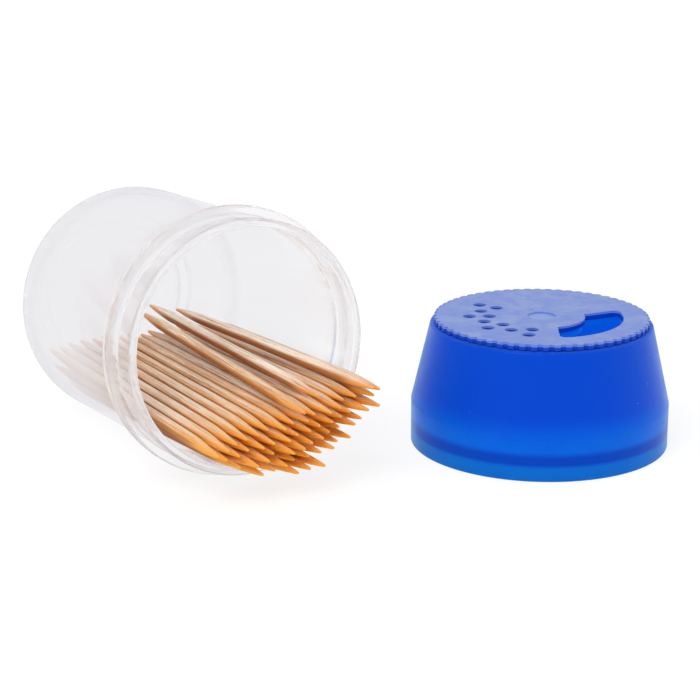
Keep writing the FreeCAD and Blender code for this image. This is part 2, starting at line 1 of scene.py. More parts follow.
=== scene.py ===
"""A toothpick dispenser taken apart for filling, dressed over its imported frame.

The clear jar lies on its side with toothpicks fanned out of its mouth. The blue
cap stands beside it and carries the dial that turns on it. Sizes are given in
millimetres; meshes and objects are in metres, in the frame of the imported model.
"""

import json
import logging
import math
from collections.abc import Callable
from dataclasses import dataclass, field
from enum import Enum

import bmesh
import bpy
import numpy as np
from mathutils import Matrix, Vector


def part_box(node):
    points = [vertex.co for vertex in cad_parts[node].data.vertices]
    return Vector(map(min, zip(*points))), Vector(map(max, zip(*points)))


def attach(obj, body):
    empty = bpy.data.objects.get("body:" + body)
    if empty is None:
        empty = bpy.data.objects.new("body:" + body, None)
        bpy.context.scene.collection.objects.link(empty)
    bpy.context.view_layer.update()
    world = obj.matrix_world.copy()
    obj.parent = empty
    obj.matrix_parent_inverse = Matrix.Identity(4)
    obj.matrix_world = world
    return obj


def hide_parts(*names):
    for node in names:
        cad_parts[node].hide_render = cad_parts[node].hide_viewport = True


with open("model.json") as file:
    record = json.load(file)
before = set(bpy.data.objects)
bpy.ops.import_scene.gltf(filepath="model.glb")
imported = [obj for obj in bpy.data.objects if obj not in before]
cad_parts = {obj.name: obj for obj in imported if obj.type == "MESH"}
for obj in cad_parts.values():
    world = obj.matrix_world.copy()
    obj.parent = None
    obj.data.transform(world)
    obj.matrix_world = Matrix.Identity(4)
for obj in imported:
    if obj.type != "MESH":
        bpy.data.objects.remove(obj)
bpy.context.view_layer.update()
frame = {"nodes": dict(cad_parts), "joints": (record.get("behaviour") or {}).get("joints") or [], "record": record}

MM = 0.001
NEAR_ZERO = 1e-6
LOG = logging.getLogger("toothpick_dispenser")

Spot = tuple[float, float, float]
Colour = tuple[float, float, float, float]
Outline = list[tuple[float, float]]
Span = tuple[float, ...]  # what Net.ease takes: low, high, and then start and end
Grain = tuple[float, ...]  # what Net.noise takes: scale, detail, and then roughness
Relief = tuple[float, float]  # what Net.bump takes: strength, and distance in millimetres

WHITE: Colour = (1.0, 1.0, 1.0, 1.0)
BLACK: Colour = (0.0, 0.0, 0.0, 1.0)


class Slot(Enum):
    """The record's material slots."""

    CLEAR = "clear_plastic"
    BLUE = "blue_plastic"
    BLUE_DIAL = "blue_plastic_dial"
    WOOD = "pick_wood"


def paint(red: int, green: int, blue: int) -> Colour:
    """Turn a colour as seen on a screen into the linear values that shaders take.

    Args:
        red: Red, 0 to 255.
        green: Green, 0 to 255.
        blue: Blue, 0 to 255.

    Returns:
        Red, green, blue and alpha, 0 to 1.
    """
    levels = [level / 255 for level in (red, green, blue)]
    linear = [level / 12.92 if level < 0.04045 else ((level + 0.055) / 1.055) ** 2.4
              for level in levels]
    return (*linear, 1.0)


def math_node(operation: str, swapped: bool = False) -> Callable[["Value", object], "Value"]:
    """Make an operator of Value that adds one Math node.

    Args:
        operation: Blender's name for the sum.
        swapped: Whether the value itself is the second number.

    Returns:
        The operator.
    """
    def operator(value: "Value", other: object) -> "Value":
        """Add the node and return its output."""
        numbers = (other, value) if swapped else (value, other)
        return value.net.add("ShaderNodeMath", {"operation": operation},
                             dict(enumerate(numbers)))

    return operator


class Value:
    """One output of a node tree, on which Python's operators add Math nodes."""

    def __init__(self, net: "Net", socket: bpy.types.NodeSocket) -> None:
        """Keep the tree and the socket."""
        self.net = net
        self.socket = socket

    __add__, __radd__ = math_node("ADD"), math_node("ADD", swapped=True)
    __sub__, __rsub__ = math_node("SUBTRACT"), math_node("SUBTRACT", swapped=True)
    __mul__, __rmul__ = math_node("MULTIPLY"), math_node("MULTIPLY", swapped=True)
    __truediv__, __pow__ = math_node("DIVIDE"), math_node("POWER")
    __gt__, __lt__ = math_node("GREATER_THAN"), math_node("LESS_THAN")
    at_most, at_least = math_node("MINIMUM"), math_node("MAXIMUM")


class Net:
    """A shader or geometry tree that is written in Python expressions."""

    def __init__(self, tree: bpy.types.NodeTree) -> None:
        """Start on an empty tree."""
        self.tree = tree
        self.tree.nodes.clear()

    @staticmethod
    def _pick(sockets: object, key: int | str) -> bpy.types.NodeSocket:
        """Find a socket by number, or by name among those in use."""
        if isinstance(key, int):
            return sockets[key]
        return next(socket for socket in sockets if socket.name == key and socket.enabled)

    def node(self, kind: str, settings: dict | None = None,
             sockets: dict | None = None) -> bpy.types.Node:
        """Add one node.

        Args:
            kind: Blender's name for the node's type.
            settings: Properties, set first.
            sockets: A value or link for each input, by name or number.

        Returns:
            The node.
        """
        made = self.tree.nodes.new(kind)
        for name, setting in (settings or {}).items():
            setattr(made, name, setting)
        for key, value in (sockets or {}).items():
            self.put(self._pick(made.inputs, key), value)
        return made

    def put(self, socket: bpy.types.NodeSocket, value: object) -> None:
        """Link or set one input.

        Args:
            socket: The input.
            value: A link, a list of links, or a plain value.
        """
        if isinstance(value, list):
            for part in value:
                self.put(socket, part)
        elif isinstance(value, Value):
            self.tree.links.new(value.socket, socket)
        else:
            socket.default_value = value

    def add(self, kind: str, settings: dict | None = None, sockets: dict | None = None,
            out: int | str = 0) -> Value:
        """Add one node and return one of its outputs.

        Args:
            kind: Blender's name for the node's type.
            settings: Properties, set first.
            sockets: A value or link for each input, by name or number.
            out: The output, by name or number.

        Returns:
            The chosen output.
        """
        made = self.node(kind, settings, sockets)
        return Value(self, self._pick(made.outputs, out))

    def one(self, operation: str, value: object) -> Value:
        """A Math node of one input, such as SQRT or SINE."""
        return self.add("ShaderNodeMath", {"operation": operation}, {0: value})

    def vector(self, across: object, ahead: object, up: object) -> Value:
        """A vector from three numbers or links."""
        return self.add("ShaderNodeCombineXYZ", {}, {0: across, 1: ahead, 2: up})

    def parts(self, value: Value) -> tuple[Value, Value, Value]:
        """The three parts of a vector."""
        split = self.node("ShaderNodeSeparateXYZ", {}, {0: value})
        return tuple(Value(self, output) for output in split.outputs)

    def times(self, value: Value, scales: Spot) -> Value:
        """A vector scaled along each axis."""
        return self.add("ShaderNodeVectorMath", {"operation": "MULTIPLY"}, {0: value, 1: scales})

    def scaled(self, value: Value, share: object) -> Value:
        """A vector scaled alike along all axes."""
        return self.add("ShaderNodeVectorMath", {"operation": "SCALE"},
                        {0: value, "Scale": share})

    def noise(self, place: Value, scale: float, detail: float = 2.0,
              roughness: float = 0.5) -> Value:
        """Smooth noise, 0 to 1, at a place."""
        return self.add("ShaderNodeTexNoise", {},
                        {"Vector": place, "Scale": scale, "Detail": detail,
                         "Roughness": roughness}, "Fac")

    def ease(self, value: object, low: float, high: float, start: float = 0.0,
             end: float = 1.0) -> Value:
        """Go smoothly from start to end as a value goes from low to high."""
        return self.add("ShaderNodeMapRange", {"interpolation_type": "SMOOTHSTEP"},
                        {"Value": value, "From Min": low, "From Max": high,
                         "To Min": start, "To Max": end})

    def edge(self) -> Value:
        """0 where the surface faces the eye, 1 where it is seen edge-on."""
        return self.add("ShaderNodeLayerWeight", {}, {"Blend": 0.5}, "Facing")

    def seen(self) -> Value:
        """Tell what the eye sees from what only lights the object.

        Returns:
            1 for what is seen, also by way of gloss or clear plastic, else 0.
        """
        path = self.node("ShaderNodeLightPath")
        camera, glossy, through = (Value(self, path.outputs[f"Is {way} Ray"])
                                   for way in ("Camera", "Glossy", "Transmission"))
        return camera.at_least(glossy).at_least(through)

    def kept(self, name: str, out: str) -> Value:
        """A value that a mesh keeps on its points, read in a material."""
        return self.add("ShaderNodeAttribute", {"attribute_name": name}, out=out)

    def blend(self, share: object, first: object, second: object) -> Value:
        """A colour between two colours."""
        return self.add("ShaderNodeMix", {"data_type": "RGBA"},
                        {"Factor": share, "A": first, "B": second}, "Result")

    def mixed(self, share: object, first: Value, second: Value) -> Value:
        """A shader between two shaders."""
        return self.add("ShaderNodeMixShader", {}, {0: share, 1: first, 2: second})

    def bump(self, height: Value, strength: float, distance: float) -> Value:
        """A surface that rises and falls with a height, by a distance in millimetres."""
        return self.add("ShaderNodeBump", {}, {"Strength": strength, "Distance": distance * MM,
                                               "Height": height})


@dataclass(frozen=True)
class Finish:
    """What every finish shares: its name, and how its material starts and ends."""

    name: str

    def start(self) -> Net:
        """Make an empty material.

        Returns:
            Its tree.
        """
        material = bpy.data.materials.new(self.name)
        material.use_nodes = True
        return Net(material.node_tree)

    def place(self, net: Net) -> Value:
        """The spot on the object in millimetres."""
        return net.times(net.add("ShaderNodeTexCoord", out="Object"), (1 / MM,) * 3)

    def close(self, net: Net, sockets: dict) -> bpy.types.Material:
        """Add a Principled shader and the output."""
        return self.finish(net, net.add("ShaderNodeBsdfPrincipled", {}, sockets))

    def finish(self, net: Net, shader: Value) -> bpy.types.Material:
        """Add the output and return the material."""
        net.node("ShaderNodeOutputMaterial", {}, {"Surface": shader})
        return next(item for item in bpy.data.materials if item.node_tree == net.tree)


@dataclass(frozen=True)
class ClearPlastic(Finish):
    """Clear moulded plastic, milkier towards the jar's foot than at its mouth.

    Light goes through it in three ways: bent as by glass, straight on, or held
    back by a pale veil that glows with painted light. Painted shade darkens the
    outlines where the plastic is seen edge-on, tan on the flange and darker at
    the heel. Levels are places along Y, which is how the jar lies.
    """

    name: str = "clear_moulded_plastic"
    tint: Colour = paint(253, 253, 254)
    # Painted shade: colours that darken the outlines where the plastic is seen edge-on.
    painted_edge_shade: Colour = paint(208, 206, 226)
    flange_edge_shade: Colour = paint(206, 176, 152)
    wall_edge_shade: Colour = paint(221, 219, 223)
    heel_edge_shade: Colour = paint(196, 194, 206)
    # Painted light: the milky veil glows in these colours instead of being lit, over a dark body.
    milk_glow: Colour = paint(228, 227, 229)
    heel_milk_glow: Colour = paint(224, 223, 227)
    veil_body: Colour = (0.05, 0.05, 0.05, 1.0)
    ior: float = 1.42
    waves: Grain = (0.05, 1.0)
    wave_relief: Relief = (0.05, 0.2)
    scuffs: Grain = (3.0, 5.0, 0.7)
    scuff_stretch: Spot = (1.2, 0.15, 1.2)
    scuff_haze: Span = (0.62, 0.8, 0.015, 0.09)
    flange_back: Span = (-3.0, -6.5)
    flange_front: Span = (-13.0, -9.5)
    shaded_edge: Span = (0.6, 1.0)
    straight: Span = (-6.0, -2.0, 0.28, 0.86)
    foot_bends: Span = (33.0, 38.0, 0.0, 0.7)
    veil: Span = (-8.0, 16.0, 0.18, 0.47)
    foot_clears: Span = (36.0, 42.0, 0.0, 0.1)
    heel_shaded_outline: Span = (26.0, 38.0)
    heel_veil: Span = (30.0, 42.0)
    veil_shaded_edge: Span = (0.66, 1.0)

    def bent(self, net: Net, spot: Value, flange: Value) -> Value:
        """The share of the plastic that bends light as glass does.

        Args:
            net: The material's tree.
            spot: The spot on the jar in millimetres.
            flange: 1 on the flange, else 0.

        Returns:
            The shader.
        """
        scuffs = net.noise(net.times(spot, self.scuff_stretch), *self.scuffs)
        # Painted shade: the bent light is tinted darker where the surface is seen edge-on.
        painted_edge_shade = net.blend(flange, self.painted_edge_shade, self.flange_edge_shade)
        return net.add("ShaderNodeBsdfPrincipled", {}, {
            "Base Color": net.blend(net.ease(net.edge(), *self.shaded_edge), self.tint, painted_edge_shade),
            "Roughness": net.ease(scuffs, *self.scuff_haze), "IOR": self.ior,
            "Specular IOR Level": 0.3, "Transmission Weight": 1.0,
            "Normal": net.bump(net.noise(spot, *self.waves), *self.wave_relief)})

    def glowing_veil(self, net: Net, back: Value, flange: Value) -> Value:
        """The pale veil, which glows with painted light, its outlines painted darker as shade.

        Args:
            net: The material's tree.
            back: The level along the jar.
            flange: 1 on the flange, else 0.

        Returns:
            The shader.
        """
        # Painted shade: the veil's outlines darken where it is seen edge-on, tan on the flange and darker at the
        # heel.
        outline = net.blend(flange, self.wall_edge_shade, self.flange_edge_shade)
        outline = net.blend(net.ease(back, *self.heel_shaded_outline), outline, self.heel_edge_shade)
        # Painted light: the veil's glow, a little darker towards the heel.
        milk_glow = net.blend(net.ease(back, *self.heel_veil), self.milk_glow, self.heel_milk_glow)
        milk_glow = net.blend(net.ease(net.edge(), *self.veil_shaded_edge), milk_glow, outline)
        return net.add("ShaderNodeBsdfPrincipled", {}, {
            "Base Color": self.veil_body, "Roughness": 0.6, "Specular IOR Level": 0.1,
            "Emission Color": milk_glow, "Emission Strength": 1.0})

    def build(self) -> bpy.types.Material:
        """Make the material.

        Returns:
            The finished material.
        """
        net = self.start()
        spot = self.place(net)
        back = net.parts(spot)[1]
        flange = net.ease(back, *self.flange_back) * net.ease(back, *self.flange_front)
        through = net.add("ShaderNodeBsdfTransparent", {}, {"Color": self.tint})
        straight = net.ease(back, *self.straight) - net.ease(back, *self.foot_bends)
        clear = net.mixed(straight, self.bent(net, spot, flange), through)
        veil = net.ease(back, *self.veil) - net.ease(back, *self.foot_clears)
        return self.finish(net, net.mixed(veil, clear, self.glowing_veil(net, back, flange)))


@dataclass(frozen=True)
class BluePlastic(Finish):
    """Satin blue plastic that lets some light through where it is thin.

    Light that comes through the thin wall is also painted into the colour: the band
    below the cone is painted lighter, the stripe where the inner bead thickens the
    wall is painted shade, the deck under the dial is painted shade and the inside
    glows with painted light. Levels are heights on the standing cap.
    """

    name: str = "blue_satin_plastic"
    deep: Colour = paint(0, 75, 208)
    # Painted light: the thin band below the cone is lighter, lit through its wall.
    lit: Colour = paint(0, 106, 222)
    # Painted shade where the inner bead thickens the wall; also the colour of the random mottle.
    bead: Colour = paint(0, 72, 190)
    foot: Colour = paint(6, 113, 204)
    # Painted shade on the deck under the dial.
    shade_under_dial: Colour = paint(0, 46, 160)
    speck: Colour = paint(120, 165, 235)
    # Painted light: the cap's inside glows in this colour, as if lit through its wall.
    inside: Colour = paint(0, 76, 146)
    sheen: Colour = paint(168, 216, 255)
    drift: Grain = (0.09, 2.0)
    drift_height: float = 1.2
    lit_below: Span = (13.0, 6.5)
    stripe_top: Span = (6.1, 4.6)
    stripe_foot: Span = (2.3, 3.6)
    foot_below: Span = (3.4, 2.4)
    mottle: Grain = (0.22, 2.0)
    mottled: Span = (0.4, 0.75, 0.0, 0.12)
    speck_scale: float = 0.25
    speck_size: Span = (0.03, 0.015)
    grain: Grain = (1.6, 3.0)
    grain_relief: Relief = (0.06, 0.03)
    roughness: Span = (0.3, 0.7, 0.29, 0.39)
    wall_depth: Span = (0.4, 0.7)
    deck_margin: float = 0.1

    def build(self) -> bpy.types.Material:
        """Make the material.

        Returns:
            The finished material.
        """
        net = self.start()
        spot = self.place(net)
        across, ahead, height = net.parts(spot)
        level = height + (net.noise(spot, *self.drift) - 0.5) * self.drift_height
        # Painted light: lighter towards the foot, where the thin band lets light through.
        colour = net.blend(net.ease(level, *self.lit_below), self.deep, self.lit)
        # Painted shade: a darker stripe where the inner bead thickens the wall.
        bead_shade_stripe = net.ease(height, *self.stripe_top) * net.ease(height, *self.stripe_foot)
        colour = net.blend(bead_shade_stripe, colour, self.bead)
        colour = net.blend(net.ease(height, *self.foot_below), colour, self.foot)
        mottle = net.noise(spot, *self.mottle)
        colour = net.blend(net.ease(mottle, *self.mottled), colour, self.bead)
        dots = net.add("ShaderNodeTexVoronoi", {}, {"Vector": spot, "Scale": self.speck_scale},
                       "Distance")
        colour = net.blend(net.ease(dots, *self.speck_size), colour, self.speck)
        cap = Cap()
        centre = cap_place().translation / MM
        reach = net.one("SQRT", (across - centre.x) ** 2 + (ahead - centre.y) ** 2)
        slope = (cap.radius - cap.top_radius) / (cap.height - cap.band_height)
        outside = cap.radius - (height - cap.band_height).at_least(0.0) * slope
        deck = cap.height - self.deck_margin
        # Where the inside glows with painted light: the inner surfaces below the deck's top.
        inner = net.ease(outside - reach, *self.wall_depth) * (height < deck)
        # Painted shade on the deck where the dial covers it.
        shaded_under_dial = (height > deck) * (reach < cap.top_radius - cap.deck_insets[0])
        colour = net.blend(shaded_under_dial, colour, self.shade_under_dial)
        return self.close(net, {
            "Base Color": colour, "Roughness": net.ease(mottle, *self.roughness), "IOR": 1.5,
            "Specular IOR Level": 0.06, "Subsurface Weight": 0.5, "Subsurface Scale": 0.003,
            "Subsurface Radius": (0.2, 0.5, 1.0), "Sheen Weight": 0.6,
            "Sheen Roughness": 0.35, "Sheen Tint": self.sheen,
            # Painted light: the inside glows.
            "Emission Color": net.blend(inner, BLACK, self.inside),
            "Emission Strength": 1.0,
            "Normal": net.bump(net.noise(spot, *self.grain), *self.grain_relief)})


@dataclass(frozen=True)
class DialPlastic(Finish):
    """The same blue plastic; the dial's softer top is painted paler as sheen, in
    paler and bluer patches, with a painted highlight on the dimple's floor.
    """

    name: str = "blue_clouded_plastic"
    side: Colour = paint(0, 72, 200)
    # Painted sheen: the top is painted paler than the sides, paler still and bluer in patches.
    top: Colour = paint(112, 138, 212)
    paler_sheen: Colour = paint(138, 158, 212)
    weaker_sheen: Colour = paint(88, 118, 216)
    # Painted highlight on the dimple's floor.
    pit_highlight: Colour = paint(134, 160, 220)
    clouds: Grain = (0.16, 4.0, 0.6)
    paler_sheen_span: Span = (0.38, 0.66)
    patches: Grain = (0.42, 3.0)
    weaker_sheen_span: Span = (0.42, 0.75, 0.0, 0.5)
    top_side: Span = (25.9, 26.02)
    pit_top: Span = (26.0, 25.7)
    pit_floor: Span = (25.64, 25.68)
    grain: Grain = (2.6, 4.0, 0.65)
    grain_relief: Relief = (0.1, 0.04)
    roughness: Span = (0.3, 0.7, 0.38, 0.5)

    def build(self) -> bpy.types.Material:
        """Make the material.

        Returns:
            The finished material.
        """
        net = self.start()
        spot = self.place(net)
        height = net.parts(spot)[2]
        clouds = net.noise(spot, *self.clouds)
        # Painted sheen on the top, paler in clouds and bluer in patches.
        top = net.blend(net.ease(clouds, *self.paler_sheen_span), self.top, self.paler_sheen)
        top = net.blend(net.ease(net.noise(spot, *self.patches), *self.weaker_sheen_span), top, self.weaker_sheen)
        colour = net.blend(net.ease(height, *self.top_side), self.side, top)
        # Painted highlight: the dimple's floor is paler.
        pit_highlight = net.ease(height, *self.pit_top) * net.ease(height, *self.pit_floor)
        return self.close(net, {
            "Base Color": net.blend(pit_highlight, colour, self.pit_highlight),
            "Roughness": net.ease(clouds, *self.roughness), "IOR": 1.5,
            "Specular IOR Level": 0.2, "Subsurface Weight": 0.12, "Subsurface Scale": 0.0015,
            "Subsurface Radius": (0.2, 0.5, 1.0),
            "Normal": net.bump(net.noise(spot, *self.grain), *self.grain_relief)})


@dataclass(frozen=True)
class BareWood(Finish):
    """Tumbled pale wood with fine fibres along it, with light and shade painted in.

    Crests get a painted highlight. Flanks, the lower rows and the gaps between
    toothpicks get painted shade. The points, and the flanks and lower rows in front,
    turn golden with painted warm light. Fibres follow the attributes that the
    toothpick's tree keeps on its points: grain, tone, point and up. Levels are
    places along Y and heights in the heap.
    """

    name: str = "bare_tumbled_wood"
    pale: Colour = paint(242, 227, 208)
    tan: Colour = paint(224, 182, 136)
    fibre: Colour = paint(160, 98, 50)
    # Bright serves the bright fibres and the painted highlight on the crests.
    bright: Colour = paint(250, 242, 230)
    # Painted shade: flank darkens the flanks and the lower rows, gap the gaps between toothpicks.
    flank_shade: Colour = paint(204, 138, 76)
    gap_shade: Colour = paint(150, 80, 26)
    # Painted warm light: golden on the points and on flanks in front; low is the glow of the front, lower rows.
    golden_light: Colour = paint(238, 160, 76)
    low: Colour = paint(255, 174, 44)
    fibre_scales: Spot = (3.8, 3.8, 0.09)
    fibre_grain: Grain = (1.0, 5.0, 0.75)
    streak_scales: Spot = (1.5, 1.5, 0.05)
    streak_grain: Grain = (1.0, 3.0, 0.55)
    fleck_scales: Spot = (9.0, 9.0, 0.8)
    fleck_grain: Grain = (1.0, 2.0)
    tone_share: float = 0.9
    streak_share: float = 1.4
    tanned: Span = (0.1, 0.85)
    dark_fibres: Span = (0.5, 0.62, 0.0, 0.75)
    bright_fibres: Span = (0.48, 0.38, 0.0, 0.85)
    crest_highlight: Span = (0.7, 0.98, 0.0, 0.3)
    flecked: Span = (0.6, 0.78, 0.0, 0.3)
    shade_below: Span = (23.5, 18.0, 0.0, 0.26)
    sideways: Span = (0.74, 0.0)
    side_share: float = 0.8
    forward: Span = (-6.0, -30.0)
    gap_below: Span = (0.56, 0.08)
    gap_before_point: Span = (0.5, 0.0)
    gap_share: float = 0.72
    golden_light_point: Span = (0.3, 1.0, 0.0, 0.6)
    glow_below: Span = (27.0, 10.0, 0.0, 0.95)
    glow_crest: float = 0.45
    glow_in_gap: float = 0.4
    relief: Relief = (0.5, 0.06)
    fleck_relief: float = 0.5
    roughness: Span = (0.3, 0.8, 0.45, 0.65)

    def build(self) -> bpy.types.Material:
        """Make the material.

        Returns:
            The finished material.
        """
        net = self.start()
        grain = net.kept("grain", "Vector")
        tone, point, up = (net.kept(name, "Fac") for name in ("tone", "point", "up"))
        _, back, height = net.parts(self.place(net))
        fibres = net.noise(net.times(grain, self.fibre_scales), *self.fibre_grain)
        streaks = net.noise(net.times(grain, self.streak_scales), *self.streak_grain)
        flecks = net.noise(net.times(grain, self.fleck_scales), *self.fleck_grain)
        tan = tone * self.tone_share + (streaks - 0.5) * self.streak_share
        colour = net.blend(net.ease(tan, *self.tanned), self.pale, self.tan)
        # The wood's own fibres and flecks, a painted highlight on the crests and painted shade low in the heap.
        for share, shade in ((net.ease(fibres, *self.dark_fibres), self.fibre),
                             (net.ease(fibres, *self.bright_fibres), self.bright),
                             (net.ease(up, *self.crest_highlight), self.bright),
                             (net.ease(flecks, *self.flecked), self.fibre),
                             (net.ease(height, *self.shade_below), self.flank_shade)):
            colour = net.blend(share, colour, shade)
        # Painted shade on the flanks and in the gaps between toothpicks.
        side = net.ease(up, *self.sideways)
        ahead = net.ease(back, *self.forward)
        gap_shade = net.ease(up, *self.gap_below) * net.ease(point, *self.gap_before_point)
        # Painted warm light in the front, lower rows, weaker on crests and in the gaps.
        glow = (ahead * net.ease(height, *self.glow_below)
                * (self.glow_crest + (1 - self.glow_crest) * side)
                * (1 - (1 - self.glow_in_gap) * gap_shade))
        for share, shade in ((side * self.side_share,
                              net.blend(ahead, self.flank_shade, self.golden_light)),
                             (gap_shade * self.gap_share, self.gap_shade),
                             (net.ease(point, *self.golden_light_point), self.golden_light),
                             (glow, self.low)):
            colour = net.blend(share, colour, shade)
        return self.close(net, {
            "Base Color": colour, "Roughness": net.ease(fibres, *self.roughness), "IOR": 1.4,
            "Specular IOR Level": 0.3, "Subsurface Weight": 0.3, "Subsurface Scale": 0.0012,
            "Subsurface Radius": (1.0, 0.42, 0.12),
            "Normal": net.bump(fibres + flecks * self.fleck_relief, *self.relief)})


@dataclass(frozen=True)
class StudioFloor(Finish):
    """White floor that shows as the white background and keeps a soft shadow."""

    name: str = "studio_floor"
    shade: Colour = (0.93, 0.93, 0.93, 1.0)
    glow: float = 1.1
    lift: Span = (0.15, 0.6, 0.72, 0.88)
    cloth: Grain = (300.0, 2.0)
    cloth_relief: Relief = (0.03, 0.1)

    def build(self) -> bpy.types.Material:
        """Make the material.

        Returns:
            The finished material.
        """
        net = self.start()
        spot = net.add("ShaderNodeTexCoord", out="Object")
        relief = net.bump(net.noise(spot, *self.cloth), *self.cloth_relief)
        matt = net.add("ShaderNodeBsdfDiffuse", {}, {"Color": self.shade, "Normal": relief})
        glow = net.add("ShaderNodeEmission", {}, {"Color": WHITE, "Strength": self.glow})
        away = net.add("ShaderNodeVectorMath", {"operation": "LENGTH"}, {0: spot}, "Value")
        return self.finish(net, net.mixed(net.seen() * net.ease(away, *self.lift), matt, glow))


@dataclass(frozen=True)
class Corner:
    """One corner of a turned outline, with the rounding that it gets."""

    across: float
    along: float
    round: float = 0.0


def arc(radius: float, start: float, stop: float, count: int) -> Outline:
    """Points of an arc round the origin, both ends among them."""
    turns = [start + (stop - start) * step / count for step in range(count + 1)]
    return [(radius * math.cos(turn), radius * math.sin(turn)) for turn in turns]


def swept(centre: Vector, first: Vector, last: Vector, count: int) -> Outline:
    """Points of an arc round a centre, from its first spoke to its last."""
    sweep = last.angle_signed(first)
    return [tuple(centre + Matrix.Rotation(sweep * step / count, 2) @ first)
            for step in range(count + 1)]


def rounded(corners: list[Corner], steps: int = 5, support: float = 0.06,
            per_mm: float = 2.5) -> Outline:
    """Round the corners of an open outline, all but its two ends.

    Args:
        corners: The outline's corners in order.
        steps: Least pieces of each arc.
        support: Length of the short straight piece on each side of an arc, which
            keeps the long faces beside it flat.
        per_mm: Pieces of a wide arc for each millimetre of its radius.

    Returns:
        Points as pairs of radius and level.
    """
    points = [(corners[0].across, corners[0].along)]
    for before, here, after in zip(corners, corners[1:], corners[2:]):
        spot = Vector((here.across, here.along))
        back = (Vector((before.across, before.along)) - spot).normalized()
        ahead = (Vector((after.across, after.along)) - spot).normalized()
        half = back.angle(ahead) / 2
        reach = here.round / math.tan(half)
        middle = spot + (back + ahead).normalized() * (here.round / math.sin(half))
        first, last = spot + back * reach, spot + ahead * reach
        points.append(tuple(first + back * support))
        points += swept(middle, first - middle, last - middle,
                        max(steps, round(here.round * per_mm)))
        points.append(tuple(last + ahead * support))
    points.append((corners[-1].across, corners[-1].along))
    return points


def plain_mesh(name: str, spots: list, edges: list, faces: list) -> bpy.types.Mesh:
    """Make a mesh from points.

    Args:
        name: The mesh's name.
        spots: The points in metres.
        edges: Pairs of points, by number.
        faces: Loops of points, by number.

    Returns:
        The mesh.
    """
    mesh = bpy.data.meshes.new(name)
    mesh.from_pydata(spots, edges, faces)
    return mesh


def banded(rings: list[list[int]]) -> list[list[int]]:
    """Faces between each two neighbouring rings of points.

    Args:
        rings: Closed rings, all of one count. A pole is one point repeated.

    Returns:
        Each face's points.
    """
    faces = []
    for low, high in zip(rings, rings[1:]):
        for step in range(len(low)):
            after = (step + 1) % len(low)
            loop = [low[step], low[after], high[after], high[step]]
            faces.append(list(dict.fromkeys(loop)))
    return faces


def turned_mesh(name: str, outline: Outline, segments: int) -> bpy.types.Mesh:
    """Spin an outline, in millimetres, round the Z axis.

    Args:
        name: The mesh's name.
        outline: Pairs of radius and level. A radius of 0 makes a pole.
        segments: Steps round the axis.

    Returns:
        A mesh in metres, in the outline's own frame.
    """
    spots, rings = [], []
    for radius, level in outline:
        first = len(spots)
        if radius < NEAR_ZERO:
            spots.append((0.0, 0.0, level * MM))
            rings.append([first] * segments)
        else:
            circle = arc(radius, 0.0, 2 * math.pi, segments)[:-1]
            spots += [(across * MM, ahead * MM, level * MM) for across, ahead in circle]
            rings.append(list(range(first, len(spots))))
    return plain_mesh(name, spots, [], banded(rings))


def sealed(name: str, parts: list[bpy.types.Mesh], matrix: Matrix,
           smooth_below: float = 60.0, merge: float = 0.004) -> bpy.types.Mesh:
    """Join meshes into one closed mesh with its faces outwards.

    Args:
        name: The new mesh's name.
        parts: Meshes in one frame. They are removed.
        matrix: Where the joined mesh goes.
        smooth_below: Edges that turn by more degrees than this stay sharp.
        merge: Points nearer to each other than this, in millimetres, become one.

    Returns:
        The joined mesh.
    """
    form = bmesh.new()
    for part in parts:
        form.from_mesh(part)
        bpy.data.meshes.remove(part)
    bmesh.ops.remove_doubles(form, verts=form.verts, dist=merge * MM)
    bmesh.ops.recalc_face_normals(form, faces=form.faces)
    for edge in form.edges:
        edge.smooth = len(edge.link_faces) == 2 and (
            edge.calc_face_angle() < math.radians(smooth_below))
    for face in form.faces:
        face.smooth = True
    form.transform(matrix)
    mesh = bpy.data.meshes.new(name)
    form.to_mesh(mesh)
    open_edges = sum(len(edge.link_faces) != 2 for edge in form.edges)
    if open_edges:
        LOG.warning("%s has %d open edges", name, open_edges)
    form.free()
    return mesh


def shown(name: str, data: bpy.types.ID) -> bpy.types.Object:
    """Put something new into the scene.

    Args:
        name: The object's name.
        data: Its mesh, lamp or camera.

    Returns:
        The object.
    """
    made = bpy.data.objects.new(name, data)
    bpy.context.scene.collection.objects.link(made)
    return made


def place_piece(name: str, mesh: bpy.types.Mesh, material: bpy.types.Material, body: str,
                nodes: tuple[str, ...]) -> None:
    """Put a finished mesh into the scene and tie it to the frame.

    Args:
        name: The piece's name.
        mesh: Its mesh, in place.
        material: Its finish.
        body: The CAD body that it rides on.
        nodes: The CAD nodes that it stands for.
    """
    mesh.materials.clear()
    mesh.materials.append(material)
    piece = shown(name, mesh)
    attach(piece, body)
    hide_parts(*nodes)
    LOG.info("%s: %d faces, rides on %s", name, len(mesh.polygons), body)


